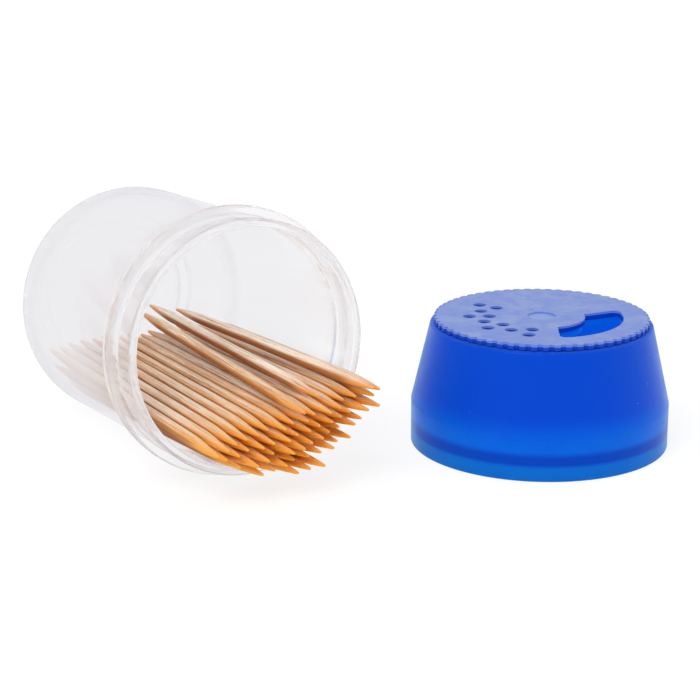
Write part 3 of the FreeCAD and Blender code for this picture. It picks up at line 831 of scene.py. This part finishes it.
class Recipe:
    """A geometry tree with named inputs, run on a mesh to give a plain mesh."""

    def __init__(self, name: str, inputs: dict[str, object]) -> None:
        """Start a tree.

        Args:
            name: The tree's name.
            inputs: Each input's name with its usual value.
        """
        tree = bpy.data.node_groups.new(name, "GeometryNodeTree")
        self.net = Net(tree)
        self.tree = tree
        kinds = {float: "NodeSocketFloat", int: "NodeSocketInt"}
        tree.interface.new_socket("Geometry", in_out="INPUT", socket_type="NodeSocketGeometry")
        for label, value in inputs.items():
            socket = tree.interface.new_socket(label, in_out="INPUT",
                                               socket_type=kinds[type(value)])
            socket.default_value = value
        tree.interface.new_socket("Material", in_out="INPUT", socket_type="NodeSocketMaterial")
        tree.interface.new_socket("Geometry", in_out="OUTPUT", socket_type="NodeSocketGeometry")
        entry = self.net.node("NodeGroupInput")
        self.inputs = {output.name: Value(self.net, output) for output in entry.outputs
                       if output.name}

    def __getitem__(self, label: str) -> Value:
        """An input of the tree by name."""
        return self.inputs[label]

    def lines(self) -> Value:
        """The mesh that the tree starts from, as curves."""
        return self.net.add("GeometryNodeMeshToCurve", {}, {"Mesh": self["Geometry"]})

    def circle(self, points: object, radius: object) -> Value:
        """A circle as a curve."""
        return self.net.add("GeometryNodeCurvePrimitiveCircle", {},
                            {"Resolution": points, "Radius": radius})

    def join(self, *shapes: Value) -> Value:
        """Several shapes as one."""
        return self.net.add("GeometryNodeJoinGeometry", {}, {0: list(shapes)})

    def move(self, shape: Value, **spots: Value) -> Value:
        """A shape with its points at a new Position or moved by an Offset."""
        return self.net.add("GeometryNodeSetPosition", {}, {"Geometry": shape} | spots)

    def close(self, shape: Value) -> None:
        """End the tree in Realize Instances, smooth shading and Set Material.

        Args:
            shape: What the tree made.
        """
        real = self.net.add("GeometryNodeRealizeInstances", {}, {"Geometry": shape})
        smooth = self.net.add("GeometryNodeSetShadeSmooth", {}, {"Geometry": real})
        dressed = self.net.add("GeometryNodeSetMaterial", {},
                               {"Geometry": smooth, "Material": self["Material"]})
        self.net.node("NodeGroupOutput", {}, {"Geometry": dressed})

    def run(self, base: bpy.types.Mesh, values: dict[str, object]) -> bpy.types.Mesh:
        """Run the tree on a mesh.

        Args:
            base: The mesh that the tree starts from. It is removed.
            values: Inputs by name that differ from the usual ones.

        Returns:
            The result as a plain mesh.
        """
        host = shown("recipe_host", base)
        modifier = host.modifiers.new("recipe", "NODES")
        modifier.node_group = self.tree
        for item in self.tree.interface.items_tree:
            if item.in_out == "INPUT" and item.name in values:
                modifier[item.identifier] = values[item.name]
        evaluated = host.evaluated_get(bpy.context.evaluated_depsgraph_get())
        result = bpy.data.meshes.new_from_object(evaluated)
        host.modifiers.remove(modifier)
        bpy.data.objects.remove(host)
        bpy.data.meshes.remove(base)
        return result


class PlateRecipe(Recipe):
    """A flat plate between loops, with rounded walls along every loop.

    Loops run with the plate on their left. Two more circles bound only its upper
    and its under face, where a turned part joins it.
    """

    INPUTS = {"Under": 0.0, "Over": 1.0, "Edge Round": 0.2, "Foot Round": 0.1,
              "Support": 0.05, "Top Circle": 0.0, "Under Circle": 0.0, "Circle Points": 240,
              "Steps": 4}
    MERGE = 0.002  # millimetres
    UPPER_CORNERS = 1.5  # the wall's points 0 and 1 are at its top, 2 and 3 at its foot

    def __init__(self, name: str, more: dict[str, object]) -> None:
        """Start the tree with the plate's inputs and some more."""
        super().__init__(name, self.INPUTS | more)

    def face(self, loops: Value, inset: Value, circle: str, level: str) -> Value:
        """Fill between the loops and a circle.

        Args:
            loops: Closed curves in the plane, plate on their left.
            inset: How far the loops move into the plate first.
            circle: The input with the circle's radius, 0 for no circle.
            level: The input with the face's height.

        Returns:
            A flat mesh.
        """
        net = self.net
        tangent = net.add("GeometryNodeInputTangent")
        left = net.add("ShaderNodeVectorMath", {"operation": "CROSS_PRODUCT"},
                       {0: (0.0, 0.0, 1.0), 1: tangent})
        ring = net.add("GeometryNodeSwitch", {"input_type": "GEOMETRY"}, {
            "Switch": self[circle] > NEAR_ZERO,
            "True": self.circle(self["Circle Points"], self[circle])})
        edges = self.join(self.move(loops, Offset=net.scaled(left, inset)), ring)
        filled = net.add("GeometryNodeFillCurve", {"mode": "TRIANGLES"}, {"Curve": edges})
        return net.add("GeometryNodeTransform", {},
                       {"Geometry": filled, "Translation": net.vector(0.0, 0.0, self[level])})

    def plate(self, loops: Value) -> Value:
        """The plate between closed loops.

        Args:
            loops: Closed curves in the plane, plate on their left.

        Returns:
            A mesh, open only along the two circles.
        """
        net = self.net
        top = self["Edge Round"] + self["Support"]
        foot = self["Foot Round"] + self["Support"]
        upper = self.face(loops, top, "Top Circle", "Over")
        under = self.face(loops, foot, "Under Circle", "Under")
        under = net.add("GeometryNodeFlipFaces", {}, {"Mesh": under})
        high, low = 0.0 - self["Over"], 0.0 - self["Under"]
        wall = net.add("GeometryNodeCurvePrimitiveQuadrilateral", {"mode": "POINTS"}, {
            "Point 1": net.vector(0.0 - top, high, 0.0), "Point 2": net.vector(0.0, high, 0.0),
            "Point 3": net.vector(0.0, low, 0.0), "Point 4": net.vector(0.0 - foot, low, 0.0)})
        wall = net.add("GeometryNodeSetSplineCyclic", {}, {"Geometry": wall, "Cyclic": False})
        at_foot = net.add("GeometryNodeInputIndex") > self.UPPER_CORNERS
        bend = self["Edge Round"] + (self["Foot Round"] - self["Edge Round"]) * at_foot
        wall = net.add("GeometryNodeFilletCurve", {"mode": "POLY"},
                       {"Curve": wall, "Count": self["Steps"], "Radius": bend})
        walls = net.add("GeometryNodeCurveToMesh", {}, {"Curve": loops, "Profile Curve": wall})
        return net.add("GeometryNodeMergeByDistance", {}, {
            "Geometry": self.join(upper, under, walls), "Distance": self.MERGE * MM})


class DeckRecipe(PlateRecipe):
    """The cap's deck: a plate round the loops that it is given."""

    def __init__(self) -> None:
        """Build the tree."""
        super().__init__("cap_deck", {})
        self.close(self.plate(self.lines()))


class DialRecipe(PlateRecipe):
    """The dial's disc: toothed rim, slot and a pattern of small round holes."""

    def __init__(self) -> None:
        """Build the tree."""
        super().__init__("dial_disc", {
            "Rim Radius": 20.0, "Teeth": 60, "Tooth Points": 20, "Notch Radius": 0.5,
            "Hole Radius": 1.0, "Hole Points": 40, "Hole Pairs": 4, "Outer Ring": 14.0,
            "Inner Ring": 10.0, "Start Angle": 0.0, "Step Angle": 0.6})
        net = self.net
        middle = (self["Outer Ring"] + self["Inner Ring"]) / 2
        hole = net.add("GeometryNodeReverseCurve", {}, {
            "Curve": self.circle(self["Hole Points"], self["Hole Radius"])})
        points = self.join(self.ring_points(self["Hole Pairs"], self["Outer Ring"], 0.0),
                           self.ring_points(self["Hole Pairs"], self["Inner Ring"], 0.0),
                           self.ring_points(self["Hole Pairs"] - 1, middle, 0.5))
        holes = net.add("GeometryNodeInstanceOnPoints", {}, {"Points": points, "Instance": hole})
        holes = net.add("GeometryNodeRealizeInstances", {}, {"Geometry": holes})
        self.close(self.plate(self.join(self.toothed_rim(), self.lines(), holes)))

    def ring_points(self, count: Value, ring: Value, shift: float) -> Value:
        """Place points along a ring, one step angle apart.

        Args:
            count: How many points.
            ring: The ring's radius.
            shift: How many steps the first point stands past the start angle.

        Returns:
            The points.
        """
        net = self.net
        index = net.add("GeometryNodeInputIndex")
        angle = self["Start Angle"] + self["Step Angle"] * (index + shift)
        spot = net.vector(net.one("COSINE", angle) * ring, net.one("SINE", angle) * ring, 0.0)
        return net.add("GeometryNodePoints", {}, {"Count": count, "Position": spot})

    def toothed_rim(self) -> Value:
        """Draw the dial's outer loop, with a round notch between each two teeth.

        Returns:
            A closed curve.
        """
        net = self.net
        rim = self.circle(self["Teeth"] * self["Tooth Points"], self["Rim Radius"])
        index = net.add("GeometryNodeInputIndex")
        phase = net.one("FRACT", index / self["Tooth Points"] + 0.5) - 0.5
        away = phase * (self["Rim Radius"] * (2 * math.pi) / self["Teeth"])
        room = self["Notch Radius"] * self["Notch Radius"] - away * away
        depth = net.one("SQRT", room.at_least(0.0))
        spot = net.add("GeometryNodeInputPosition")
        return self.move(rim, Position=net.scaled(spot, 1 - depth / self["Rim Radius"]))


class ToothpickRecipe(Recipe):
    """One toothpick along each edge of a mesh, with a point at both ends.

    The mesh keeps attributes for the wood: tone, a toothpick's own random value;
    point, 1 at its tips; up, how far a face looks up; and grain, a place in the wood.
    """

    TIP_END = 0.35  # share of the radius that is left at the very tip
    OWN_WOOD = 400  # millimetres from one toothpick's grain to the most distant one
    UNEVEN_SCALES: Spot = (0.8, 0.8, 0.09)
    UNEVEN: Grain = (1.0, 2.0)

    def __init__(self) -> None:
        """Build the tree."""
        super().__init__("toothpicks", {
            "Radius": 1.1, "Tip Radius": 0.25, "Point Length": 9.5, "Point Power": 1.5,
            "Rings": 56, "Sides": 22, "Waviness": 0.03, "Seed": 1})
        net = self.net
        number = net.add("GeometryNodeCurveOfPoint", out="Curve Index")
        along = net.add("GeometryNodeSplineParameter", out="Length") * (1 / MM)
        whole = net.add("GeometryNodeSplineLength", out="Length") * (1 / MM)
        end_gap = along.at_most(whole - along)
        share = (end_gap / self["Point Length"]).at_most(1.0)
        tone = net.add("FunctionNodeRandomValue", {"data_type": "FLOAT"},
                       {"ID": number, "Seed": self["Seed"]}, "Value")
        spine = self.keep(self.spines(number), "tone", "FLOAT", tone)
        spine = self.keep(spine, "point", "FLOAT", 1 - share)
        spine = self.keep(spine, "along", "FLOAT", along + tone * self.OWN_WOOD)
        ring = self.keep(self.circle(self["Sides"], 1.0), "ring", "FLOAT_VECTOR",
                         net.add("GeometryNodeInputPosition"))
        solid = net.add("GeometryNodeCurveToMesh", {}, {
            "Curve": spine, "Profile Curve": ring, "Scale": self.radius(end_gap, share) * MM,
            "Fill Caps": True})
        self.close(self.worn(solid))

    def spines(self, number: Value) -> Value:
        """Draw the toothpicks' middle lines, with more points towards both ends.

        Args:
            number: The line that a point is on.

        Returns:
            One curve for each edge of the tree's mesh.
        """
        net = self.net
        lines = self.lines()
        fine = net.add("GeometryNodeResampleCurve", {"mode": "COUNT"},
                       {"Curve": lines, "Count": self["Rings"]})
        factor = net.add("GeometryNodeSplineParameter", out="Factor")
        crowded = 0.5 - 0.5 * net.one("COSINE", factor * math.pi)
        spot = net.add("GeometryNodeSampleCurve", {"mode": "FACTOR", "use_all_curves": False},
                       {"Curves": lines, "Factor": crowded, "Curve Index": number}, "Position")
        return self.move(fine, Position=spot)

    def radius(self, end_gap: Value, share: Value) -> Value:
        """Work out how thick a toothpick is along its length.

        Args:
            end_gap: The distance to its nearer tip.
            share: The same as a share of its point's length, 1 at most.

        Returns:
            The radius in millimetres.
        """
        swell = 1 - (1 - share) ** self["Point Power"]
        radius = self["Tip Radius"] + (self["Radius"] - self["Tip Radius"]) * swell
        blunt = (end_gap / self["Tip Radius"]).at_most(1.0)
        dome = self.net.one("SQRT", blunt * (2 - blunt))
        return radius * (self.TIP_END + (1 - self.TIP_END) * dome)

    def worn(self, solid: Value) -> Value:
        """Make the round toothpicks slightly uneven, as tumbled wood is.

        Args:
            solid: The toothpicks.

        Returns:
            The toothpicks with every attribute for the wood.
        """
        net = self.net
        across, ahead, _ = net.parts(self.named("ring", "FLOAT_VECTOR"))
        grain = net.vector(across, ahead, self.named("along", "FLOAT"))
        uneven = net.noise(net.times(grain, self.UNEVEN_SCALES), *self.UNEVEN) - 0.5
        normal = net.add("GeometryNodeInputNormal")
        push = uneven * self["Waviness"] * MM * (1 - self.named("point", "FLOAT"))
        solid = self.keep(solid, "up", "FLOAT", net.parts(normal)[2])
        solid = self.move(solid, Offset=net.scaled(normal, push))
        return self.keep(solid, "grain", "FLOAT_VECTOR", grain)

    def keep(self, shape: Value, name: str, kind: str, value: Value) -> Value:
        """Store a value on every point of a shape under a name."""
        return self.net.add("GeometryNodeStoreNamedAttribute",
                            {"data_type": kind, "domain": "POINT"},
                            {"Geometry": shape, "Name": name, "Value": value})

    def named(self, name: str, kind: str) -> Value:
        """Read a stored value."""
        return self.net.add("GeometryNodeInputNamedAttribute", {"data_type": kind},
                            {"Name": name}, "Attribute")


@dataclass(frozen=True)
class SlotShape:
    """A curved slot. Each straight end runs beside a line through the axis."""

    inner: float
    outer: float
    end_inset: float
    middle_angle: float = -33.7
    end_angle: float = 58.1
    outer_round: float = 1.2
    inner_round: float = 0.4


def ring_slot(slot: SlotShape, steps: int = 8, side_steps: int = 48) -> Outline:
    """Outline of a curved slot with rounded corners, clockwise.

    Args:
        slot: The slot's sizes.
        steps: Pieces of each rounded corner.
        side_steps: Pieces of each long side.

    Returns:
        Points in millimetres.
    """
    points: Outline = []
    for radius, bend, side in ((slot.outer, slot.outer_round, -1),
                               (slot.inner, slot.inner_round, 1)):
        away = slot.end_inset + bend
        run = math.sqrt((radius + side * bend) ** 2 - away ** 2)
        ends = []
        for end in (side, -side):
            turn = math.radians(slot.middle_angle + end * slot.end_angle)
            along = Vector((math.cos(turn), math.sin(turn)))
            inward = along.orthogonal() * -end
            centre = along * run + inward * away
            crest = centre.normalized() * (-side * bend)
            ends.append(swept(centre, inward * -bend, crest, steps))
        first, last = ends[0], ends[1][::-1]
        begin, stop = (math.atan2(spot[1], spot[0]) for spot in (first[-1], last[0]))
        points += first + arc(radius, begin, stop, side_steps)[1:-1] + last
    return points[::-1]


def loop_mesh(name: str, loops: list[Outline]) -> bpy.types.Mesh:
    """Turn outlines into closed loops of edges.

    Args:
        name: The mesh's name.
        loops: Outlines in millimetres.

    Returns:
        A flat mesh in metres, without faces.
    """
    spots, edges = [], []
    for loop in loops:
        first, count = len(spots), len(loop)
        spots += [(across * MM, ahead * MM, 0.0) for across, ahead in loop]
        edges += [(first + step, first + (step + 1) % count) for step in range(count)]
    return plain_mesh(name, spots, edges, [])


def named_item(items: list[dict], name: str) -> dict:
    """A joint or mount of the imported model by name."""
    return next(item for item in items if item["name"] == name)


@dataclass
class Jar:
    """The clear jar, drawn from its foot at level 0 to its rim."""

    depth: float = 62.8
    foot_radius: float = 24.0
    shoulder_radius: float = 24.3
    wall: float = 1.3
    floor: float = 1.4
    heel_round: float = 9.0
    heel_steps: int = 20
    ring_height: float = 2.0
    ring_radii: tuple[float, float] = (15.2, 17.8)
    ring_root: float = 0.25
    ring_round: float = 0.4
    flange_radius: float = 26.2
    flange_back: float = 54.0
    flange_front: float = 56.5
    flange_root: float = 0.3
    flange_round: float = 0.5
    neck_radius: float = 24.0
    bead_radius: float = 24.7
    bead_back: float = 61.5
    bead_lead: float = 0.5
    bead_round: float = 0.2
    rim_round: float = 0.4
    segments: int = 240

    def heel(self) -> Outline:
        """Draw the round heel, from the foot ring's outside to the straight wall.

        Returns:
            Points as pairs of radius and level.
        """
        middle = self.foot_radius - self.heel_round
        start = math.acos((self.ring_radii[1] - middle) / self.heel_round)
        level = self.ring_height + self.heel_round
        return [(middle + across, level + along) for across, along
                in arc(self.heel_round, -start, 0.0, self.heel_steps)]

    def outline(self) -> Outline:
        """Draw the wall, from the axis outside to the axis inside.

        Returns:
            Points as pairs of radius and level.
        """
        inner = self.foot_radius - self.wall
        bore = self.shoulder_radius - self.wall
        ring_inner, ring_outer = self.ring_radii
        heel = self.heel()
        foot = [
            Corner(0.0, self.ring_height),
            Corner(ring_inner, self.ring_height, self.ring_root),
            Corner(ring_inner, 0.0, self.ring_round),
            Corner(ring_outer, 0.0, self.ring_round),
            Corner(*heel[0]),
        ]
        wall = [
            Corner(*heel[-1]),
            Corner(self.shoulder_radius, self.flange_back, self.flange_root),
            Corner(self.flange_radius, self.flange_back, self.flange_round),
            Corner(self.flange_radius, self.flange_front, self.flange_round),
            Corner(self.neck_radius, self.flange_front, self.flange_root),
            Corner(self.neck_radius, self.bead_back - self.bead_lead, self.bead_round),
            Corner(self.bead_radius, self.bead_back, self.bead_round),
            Corner(self.bead_radius, self.depth, self.rim_round),
            Corner(bore, self.depth, self.rim_round),
            Corner(inner, self.ring_height + self.floor, self.heel_round - self.wall),
            Corner(0.0, self.ring_height + self.floor),
        ]
        return rounded(foot) + heel[1:-1] + rounded(wall)

    @staticmethod
    def resting_place() -> Matrix:
        """Where the jar lies, read from the frame's own joint and mount.

        Returns:
            The matrix from the jar's own frame to the whole object's.
        """
        slide = named_item(frame["joints"], "heap_slide")
        foot = named_item(frame["record"]["mounts"], "jar_foot")
        low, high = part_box("jar")
        axis = Vector(slide["axis"]).normalized()
        across = Vector((1.0, 0.0, 0.0))
        up = axis.cross(across)
        spot = Vector(((low.x + high.x) / 2, foot["pos_m"][1], foot["pos_m"][2]))
        columns = [(*vector, 0.0) for vector in (across, up, axis)] + [(*spot, 1.0)]
        return Matrix(columns).transposed()

    def build(self) -> None:
        """Make the jar."""
        wall = turned_mesh("jar_wall", self.outline(), self.segments)
        mesh = sealed("jar_shell", [wall], self.resting_place())
        place_piece("clear_jar", mesh, ClearPlastic().build(), "jar", ("jar",))


def cap_place(turn: float = -30.7) -> Matrix:
    """Where the cap stands, read from the joint of its dial.

    Args:
        turn: Degrees that the cap is turned about its axis.

    Returns:
        The matrix from the cap's own frame to the whole object's.
    """
    across, ahead, _ = named_item(frame["joints"], "dial_turn")["pos_m"]
    spot = Vector((across, ahead, 0.0))
    return Matrix.Translation(spot) @ Matrix.Rotation(math.radians(turn), 4, "Z")


@dataclass
class Cap:
    """The blue cap: band, cone and the pierced deck that the dial lies on.

    The foot has an outer and an inner rounding. The deck joins the turned shell at
    two circles, on top and underneath, each inset from the edge beside it.
    """

    radius: float = 26.0
    inner_radius: float = 25.0
    foot_rounds: tuple[float, float] = (0.3, 0.2)
    band_height: float = 8.8
    band_round: float = 0.8
    height: float = 24.7
    top_radius: float = 22.3
    top_round: float = 0.5
    under: float = 23.5
    step_height: float = 12.0
    step_round: float = 0.15
    thin_wall: float = 1.0
    thick_wall: float = 1.6
    inner_round: float = 0.5
    bead_radius: float = 24.5
    bead_low: float = 3.25
    bead_high: float = 5.15
    bead_lead: float = 0.45
    bead_round: float = 0.15
    bead_root: float = 0.1
    bore_radius: float = 2.96
    bore_points: int = 72
    window: SlotShape = SlotShape(8.2, 16.8, 2.2)
    deck_insets: tuple[float, float] = (2.0, 1.5)
    deck_round: float = 0.12
    deck_support: float = 0.02
    deck_steps: int = 3
    shell_support: float = 0.03
    segments: int = 240

    def cone_radius(self, level: float) -> float:
        """Outer radius of the cone at a level."""
        share = (level - self.band_height) / (self.height - self.band_height)
        return self.radius + (self.top_radius - self.radius) * share

    def build(self) -> None:
        """Make the cap."""
        top_circle = self.top_radius - self.deck_insets[0]
        inside = self.cone_radius(self.under) - self.thick_wall
        under_circle = inside - self.deck_insets[1]
        step = self.cone_radius(self.step_height)
        corners = [
            Corner(top_circle, self.height),
            Corner(self.top_radius, self.height, self.top_round),
            Corner(self.radius, self.band_height, self.band_round),
            Corner(self.radius, 0.0, self.foot_rounds[0]),
            Corner(self.inner_radius, 0.0, self.foot_rounds[1]),
            Corner(self.inner_radius, self.bead_low, self.bead_root),
            Corner(self.bead_radius, self.bead_low + self.bead_lead, self.bead_round),
            Corner(self.bead_radius, self.bead_high - self.bead_lead, self.bead_round),
            Corner(self.inner_radius, self.bead_high, self.bead_root),
            Corner(self.inner_radius, self.band_height, self.inner_round),
            Corner(step - self.thin_wall, self.step_height, self.step_round),
            Corner(step - self.thick_wall, self.step_height, self.step_round),
            Corner(inside, self.under, self.inner_round),
            Corner(under_circle, self.under),
        ]
        shell = turned_mesh("cap_shell", rounded(corners, support=self.shell_support),
                            self.segments)
        stem_bore = arc(self.bore_radius, 0.0, -2 * math.pi, self.bore_points)[:-1]
        loops = loop_mesh("cap_loops", [ring_slot(self.window), stem_bore])
        deck = DeckRecipe().run(loops, {
            "Under": self.under * MM, "Over": self.height * MM,
            "Edge Round": self.deck_round * MM, "Foot Round": self.deck_round * MM,
            "Support": self.deck_support * MM, "Top Circle": top_circle * MM,
            "Under Circle": under_circle * MM, "Circle Points": self.segments,
            "Steps": self.deck_steps})
        mesh = sealed("cap_form", [shell, deck], cap_place())
        place_piece("blue_cap", mesh, BluePlastic().build(), "cap", ("cap",))


@dataclass
class Dial:
    """The dial: toothed disc with its slot, holes, dimple and split stem.

    The holes lie on an outer and an inner ring, from a start angle in equal steps.
    """

    radius: float = 21.55
    under: float = 24.8
    over: float = 26.1
    edge_round: float = 0.22
    foot_round: float = 0.15
    support: float = 0.02
    teeth: int = 60
    notch_radius: float = 0.5
    hub_radius: float = 2.95
    hub_depth: float = 0.4
    hub_slope: float = 0.5
    hub_margin: float = 0.6
    hub_round: float = 0.3
    hub_steps: int = 4
    slot: SlotShape = SlotShape(8.7, 16.3, 2.7)
    hole_radius: float = 1.25
    hole_pairs: int = 4
    hole_rings: tuple[float, float] = (14.5, 10.5)
    hole_angles: tuple[float, float] = (145.2, 36.6)
    stem_radius: float = 2.9
    stem_split: float = 1.2
    stem_root: float = 0.4
    stem_steps: int = 28
    lip_reach: float = 0.5
    lip_top: float = 23.4
    lip_low: float = 22.9
    stem_end: float = 21.9
    circle_points: int = 120
    smooth_below: float = 40.0

    def disc(self) -> bpy.types.Mesh:
        """The pierced disc, open where the dimple goes."""
        slot = loop_mesh("dial_slot", [ring_slot(self.slot)])
        return DialRecipe().run(slot, {
            "Under": self.under * MM, "Over": self.over * MM,
            "Edge Round": self.edge_round * MM, "Foot Round": self.foot_round * MM,
            "Support": self.support * MM,
            "Top Circle": (self.hub_radius + self.hub_margin) * MM,
            "Circle Points": self.circle_points, "Rim Radius": self.radius * MM,
            "Teeth": self.teeth, "Notch Radius": self.notch_radius * MM,
            "Hole Radius": self.hole_radius * MM, "Hole Pairs": self.hole_pairs,
            "Outer Ring": self.hole_rings[0] * MM, "Inner Ring": self.hole_rings[1] * MM,
            "Start Angle": math.radians(self.hole_angles[0]),
            "Step Angle": math.radians(self.hole_angles[1])})

    def dimple(self) -> bpy.types.Mesh:
        """Make the shallow dimple in the disc's middle.

        Returns:
            An open mesh that fills the disc's circle.
        """
        floor = self.over - self.hub_depth
        corners = [Corner(self.hub_radius + self.hub_margin, self.over),
                   Corner(self.hub_radius, self.over, self.hub_round),
                   Corner(self.hub_radius - self.hub_slope, floor, self.hub_round),
                   Corner(0.0, floor)]
        return turned_mesh("dial_dimple", rounded(corners, self.hub_steps, self.support),
                           self.circle_points)

    def leg(self, side: int) -> bpy.types.Mesh:
        """Make one springy leg of the split stem.

        Args:
            side: 1 or -1, for the two legs.

        Returns:
            A closed mesh that runs a little into the disc.
        """
        lip = self.stem_radius + self.lip_reach
        levels = [(self.stem_radius, self.under + self.stem_root),
                  (self.stem_radius, self.lip_top), (lip, self.lip_top),
                  (lip, self.lip_low), (self.stem_radius - self.lip_reach, self.stem_end)]
        spots, rings = [], []
        for radius, level in levels:
            edge = math.asin(self.stem_split / 2 / radius)
            first = len(spots)
            spots += [(side * across * MM, side * ahead * MM, level * MM) for across, ahead
                      in arc(radius, edge, math.pi - edge, self.stem_steps)]
            rings.append(list(range(first, len(spots))))
        return plain_mesh("dial_leg", spots, [], banded(rings) + [rings[0], rings[-1]])

    def build(self) -> None:
        """Make the dial."""
        parts = [self.disc(), self.dimple(), self.leg(1), self.leg(-1)]
        mesh = sealed("dial_form", parts, cap_place(), self.smooth_below)
        place_piece("turning_dial", mesh, DialPlastic().build(), "dial",
                    ("dial",))


@dataclass
class Heap:
    """The toothpicks, each laid along the axis of its solid in the frame."""

    radius: float = 1.1
    tip_radius: float = 0.25
    tip_face: float = 0.05
    point_length: float = 9.5
    wood: BareWood = field(default_factory=BareWood)

    @staticmethod
    def islands(form: bmesh.types.BMesh) -> list[np.ndarray]:
        """Sort a mesh's points by the separate solids that it holds.

        Args:
            form: The mesh.

        Returns:
            The points of each solid, one point a row.
        """
        left = set(form.verts)
        found = []
        while left:
            stack, island = [left.pop()], []
            while stack:
                vert = stack.pop()
                island.append(vert.co[:])
                others = {edge.other_vert(vert) for edge in vert.link_edges} & left
                left -= others
                stack += others
            found.append(np.array(island))
        return found

    def axes(self, node: str) -> list[tuple[Vector, Vector]]:
        """The two tips of every toothpick in a CAD node.

        Args:
            node: The node's name.

        Returns:
            For each toothpick its back tip and its front tip.
        """
        form = bmesh.new()
        form.from_mesh(frame["nodes"][node].data)
        bmesh.ops.remove_doubles(form, verts=form.verts, dist=NEAR_ZERO)
        tips = []
        for spots in self.islands(form):
            middle = spots.mean(axis=0)
            axis = np.linalg.svd(spots - middle, full_matrices=False)[2][0]
            axis = axis if axis[1] < 0 else -axis
            reach = (spots - middle) @ axis
            face = self.tip_face * MM
            tips.append((Vector(spots[reach < reach.min() + face].mean(axis=0)),
                         Vector(spots[reach > reach.max() - face].mean(axis=0))))
        form.free()
        return sorted(tips, key=lambda pair: pair[0].x)

    def build(self) -> None:
        """Make every toothpick."""
        recipe = ToothpickRecipe()
        material = self.wood.build()
        for seed, node in enumerate(sorted(n for n in frame["nodes"] if n.startswith("pick_"))):
            spots = [tip for pair in self.axes(node) for tip in pair]
            edges = [(first, first + 1) for first in range(0, len(spots), 2)]
            lines = plain_mesh(node + "_lines", spots, edges, [])
            mesh = recipe.run(lines, {"Radius": self.radius, "Tip Radius": self.tip_radius,
                                      "Point Length": self.point_length, "Seed": seed,
                                      "Material": material})
            mesh.name = node + "_wood"
            body = node if node.startswith("pick_loose") else "heap"
            place_piece(node.replace("pick", "toothpick"), mesh, material, body,
                        (node,))


@dataclass(frozen=True)
class Lamp:
    """A soft square lamp. Its level is what white paper at the object gets from it."""

    name: str
    spot: Spot
    side: float
    level: float


@dataclass
class Studio:
    """White floor, soft lamps and the camera at the photograph's view."""

    floor_reach: float = 1.6
    floor_segments: int = 96
    floor_drop: float = 0.02
    eye: Spot = (-0.19925, -0.3356, 0.1322)
    look: tuple[float, float] = (0.5105, 0.8599)
    pitch: float = 16.33
    lens: float = 102.86
    sensor: float = 36.0
    clip: tuple[float, float] = (0.01, 20.0)
    ambient: float = 0.62
    lit_spot: Spot = (0.0, -0.01, 0.02)
    lamps: tuple[Lamp, ...] = (Lamp("key_lamp", (-0.55, -0.35, 0.75), 0.5, 0.42),
                               Lamp("fill_lamp", (0.8, -0.5, 0.5), 0.6, 0.12))

    def floor(self) -> None:
        """Lay the floor just under the object."""
        disc = bmesh.new()
        bmesh.ops.create_circle(disc, cap_ends=True, radius=self.floor_reach,
                                segments=self.floor_segments)
        mesh = bpy.data.meshes.new("studio_floor")
        disc.to_mesh(mesh)
        disc.free()
        mesh.transform(Matrix.Translation((0.0, 0.0, -self.floor_drop * MM)))
        mesh.materials.append(StudioFloor().build())
        shown("studio_floor", mesh)

    def world(self) -> None:
        """White surroundings, dimmer where they only light the object."""
        world = bpy.data.worlds.new("studio_world")
        world.use_nodes = True
        net = Net(world.node_tree)
        strength = self.ambient + net.seen() * (1 - self.ambient)
        light = net.add("ShaderNodeBackground", {}, {"Color": WHITE, "Strength": strength})
        net.node("ShaderNodeOutputWorld", {}, {"Surface": light})
        bpy.context.scene.world = world

    @staticmethod
    def aim(name: str, data: bpy.types.ID, spot: Spot, way: Vector) -> bpy.types.Object:
        """Put a lamp or camera at a spot, facing along a way.

        Args:
            name: The object's name.
            data: The lamp or camera.
            spot: Where it goes, in metres.
            way: Where it faces.

        Returns:
            The object.
        """
        item = shown(name, data)
        item.location = spot
        item.rotation_euler = way.to_track_quat("-Z", "Y").to_euler()
        return item

    def light(self, lamp: Lamp) -> None:
        """Hang one lamp so that it faces the object.

        Args:
            lamp: The lamp.
        """
        light = bpy.data.lights.new(lamp.name, "AREA")
        light.shape = "SQUARE"
        light.size = lamp.side
        way = Vector(self.lit_spot) - Vector(lamp.spot)
        light.energy = lamp.level * math.pi ** 2 * way.length_squared
        self.aim(lamp.name, light, lamp.spot, way)

    def camera(self) -> None:
        """Set the camera at the photograph's view."""
        data = bpy.data.cameras.new("photo_camera")
        data.lens = self.lens
        data.sensor_width = self.sensor
        data.clip_start, data.clip_end = self.clip
        level, drop = math.cos(math.radians(self.pitch)), math.sin(math.radians(self.pitch))
        way = Vector((self.look[0] * level, self.look[1] * level, -drop))
        bpy.context.scene.camera = self.aim("photo_camera", data, self.eye, way)

    def build(self) -> None:
        """Set up everything round the object."""
        self.camera()
        self.floor()
        self.world()
        for lamp in self.lamps:
            self.light(lamp)
        bpy.context.scene.view_settings.view_transform = "Standard"


def main() -> None:
    """Build the studio and every part of the dispenser."""
    logging.basicConfig(level=logging.INFO, format="%(name)s: %(message)s")
    Studio().build()
    for part in (Jar(), Cap(), Dial(), Heap()):
        part.build()


if __name__ == "__main__":
    main()
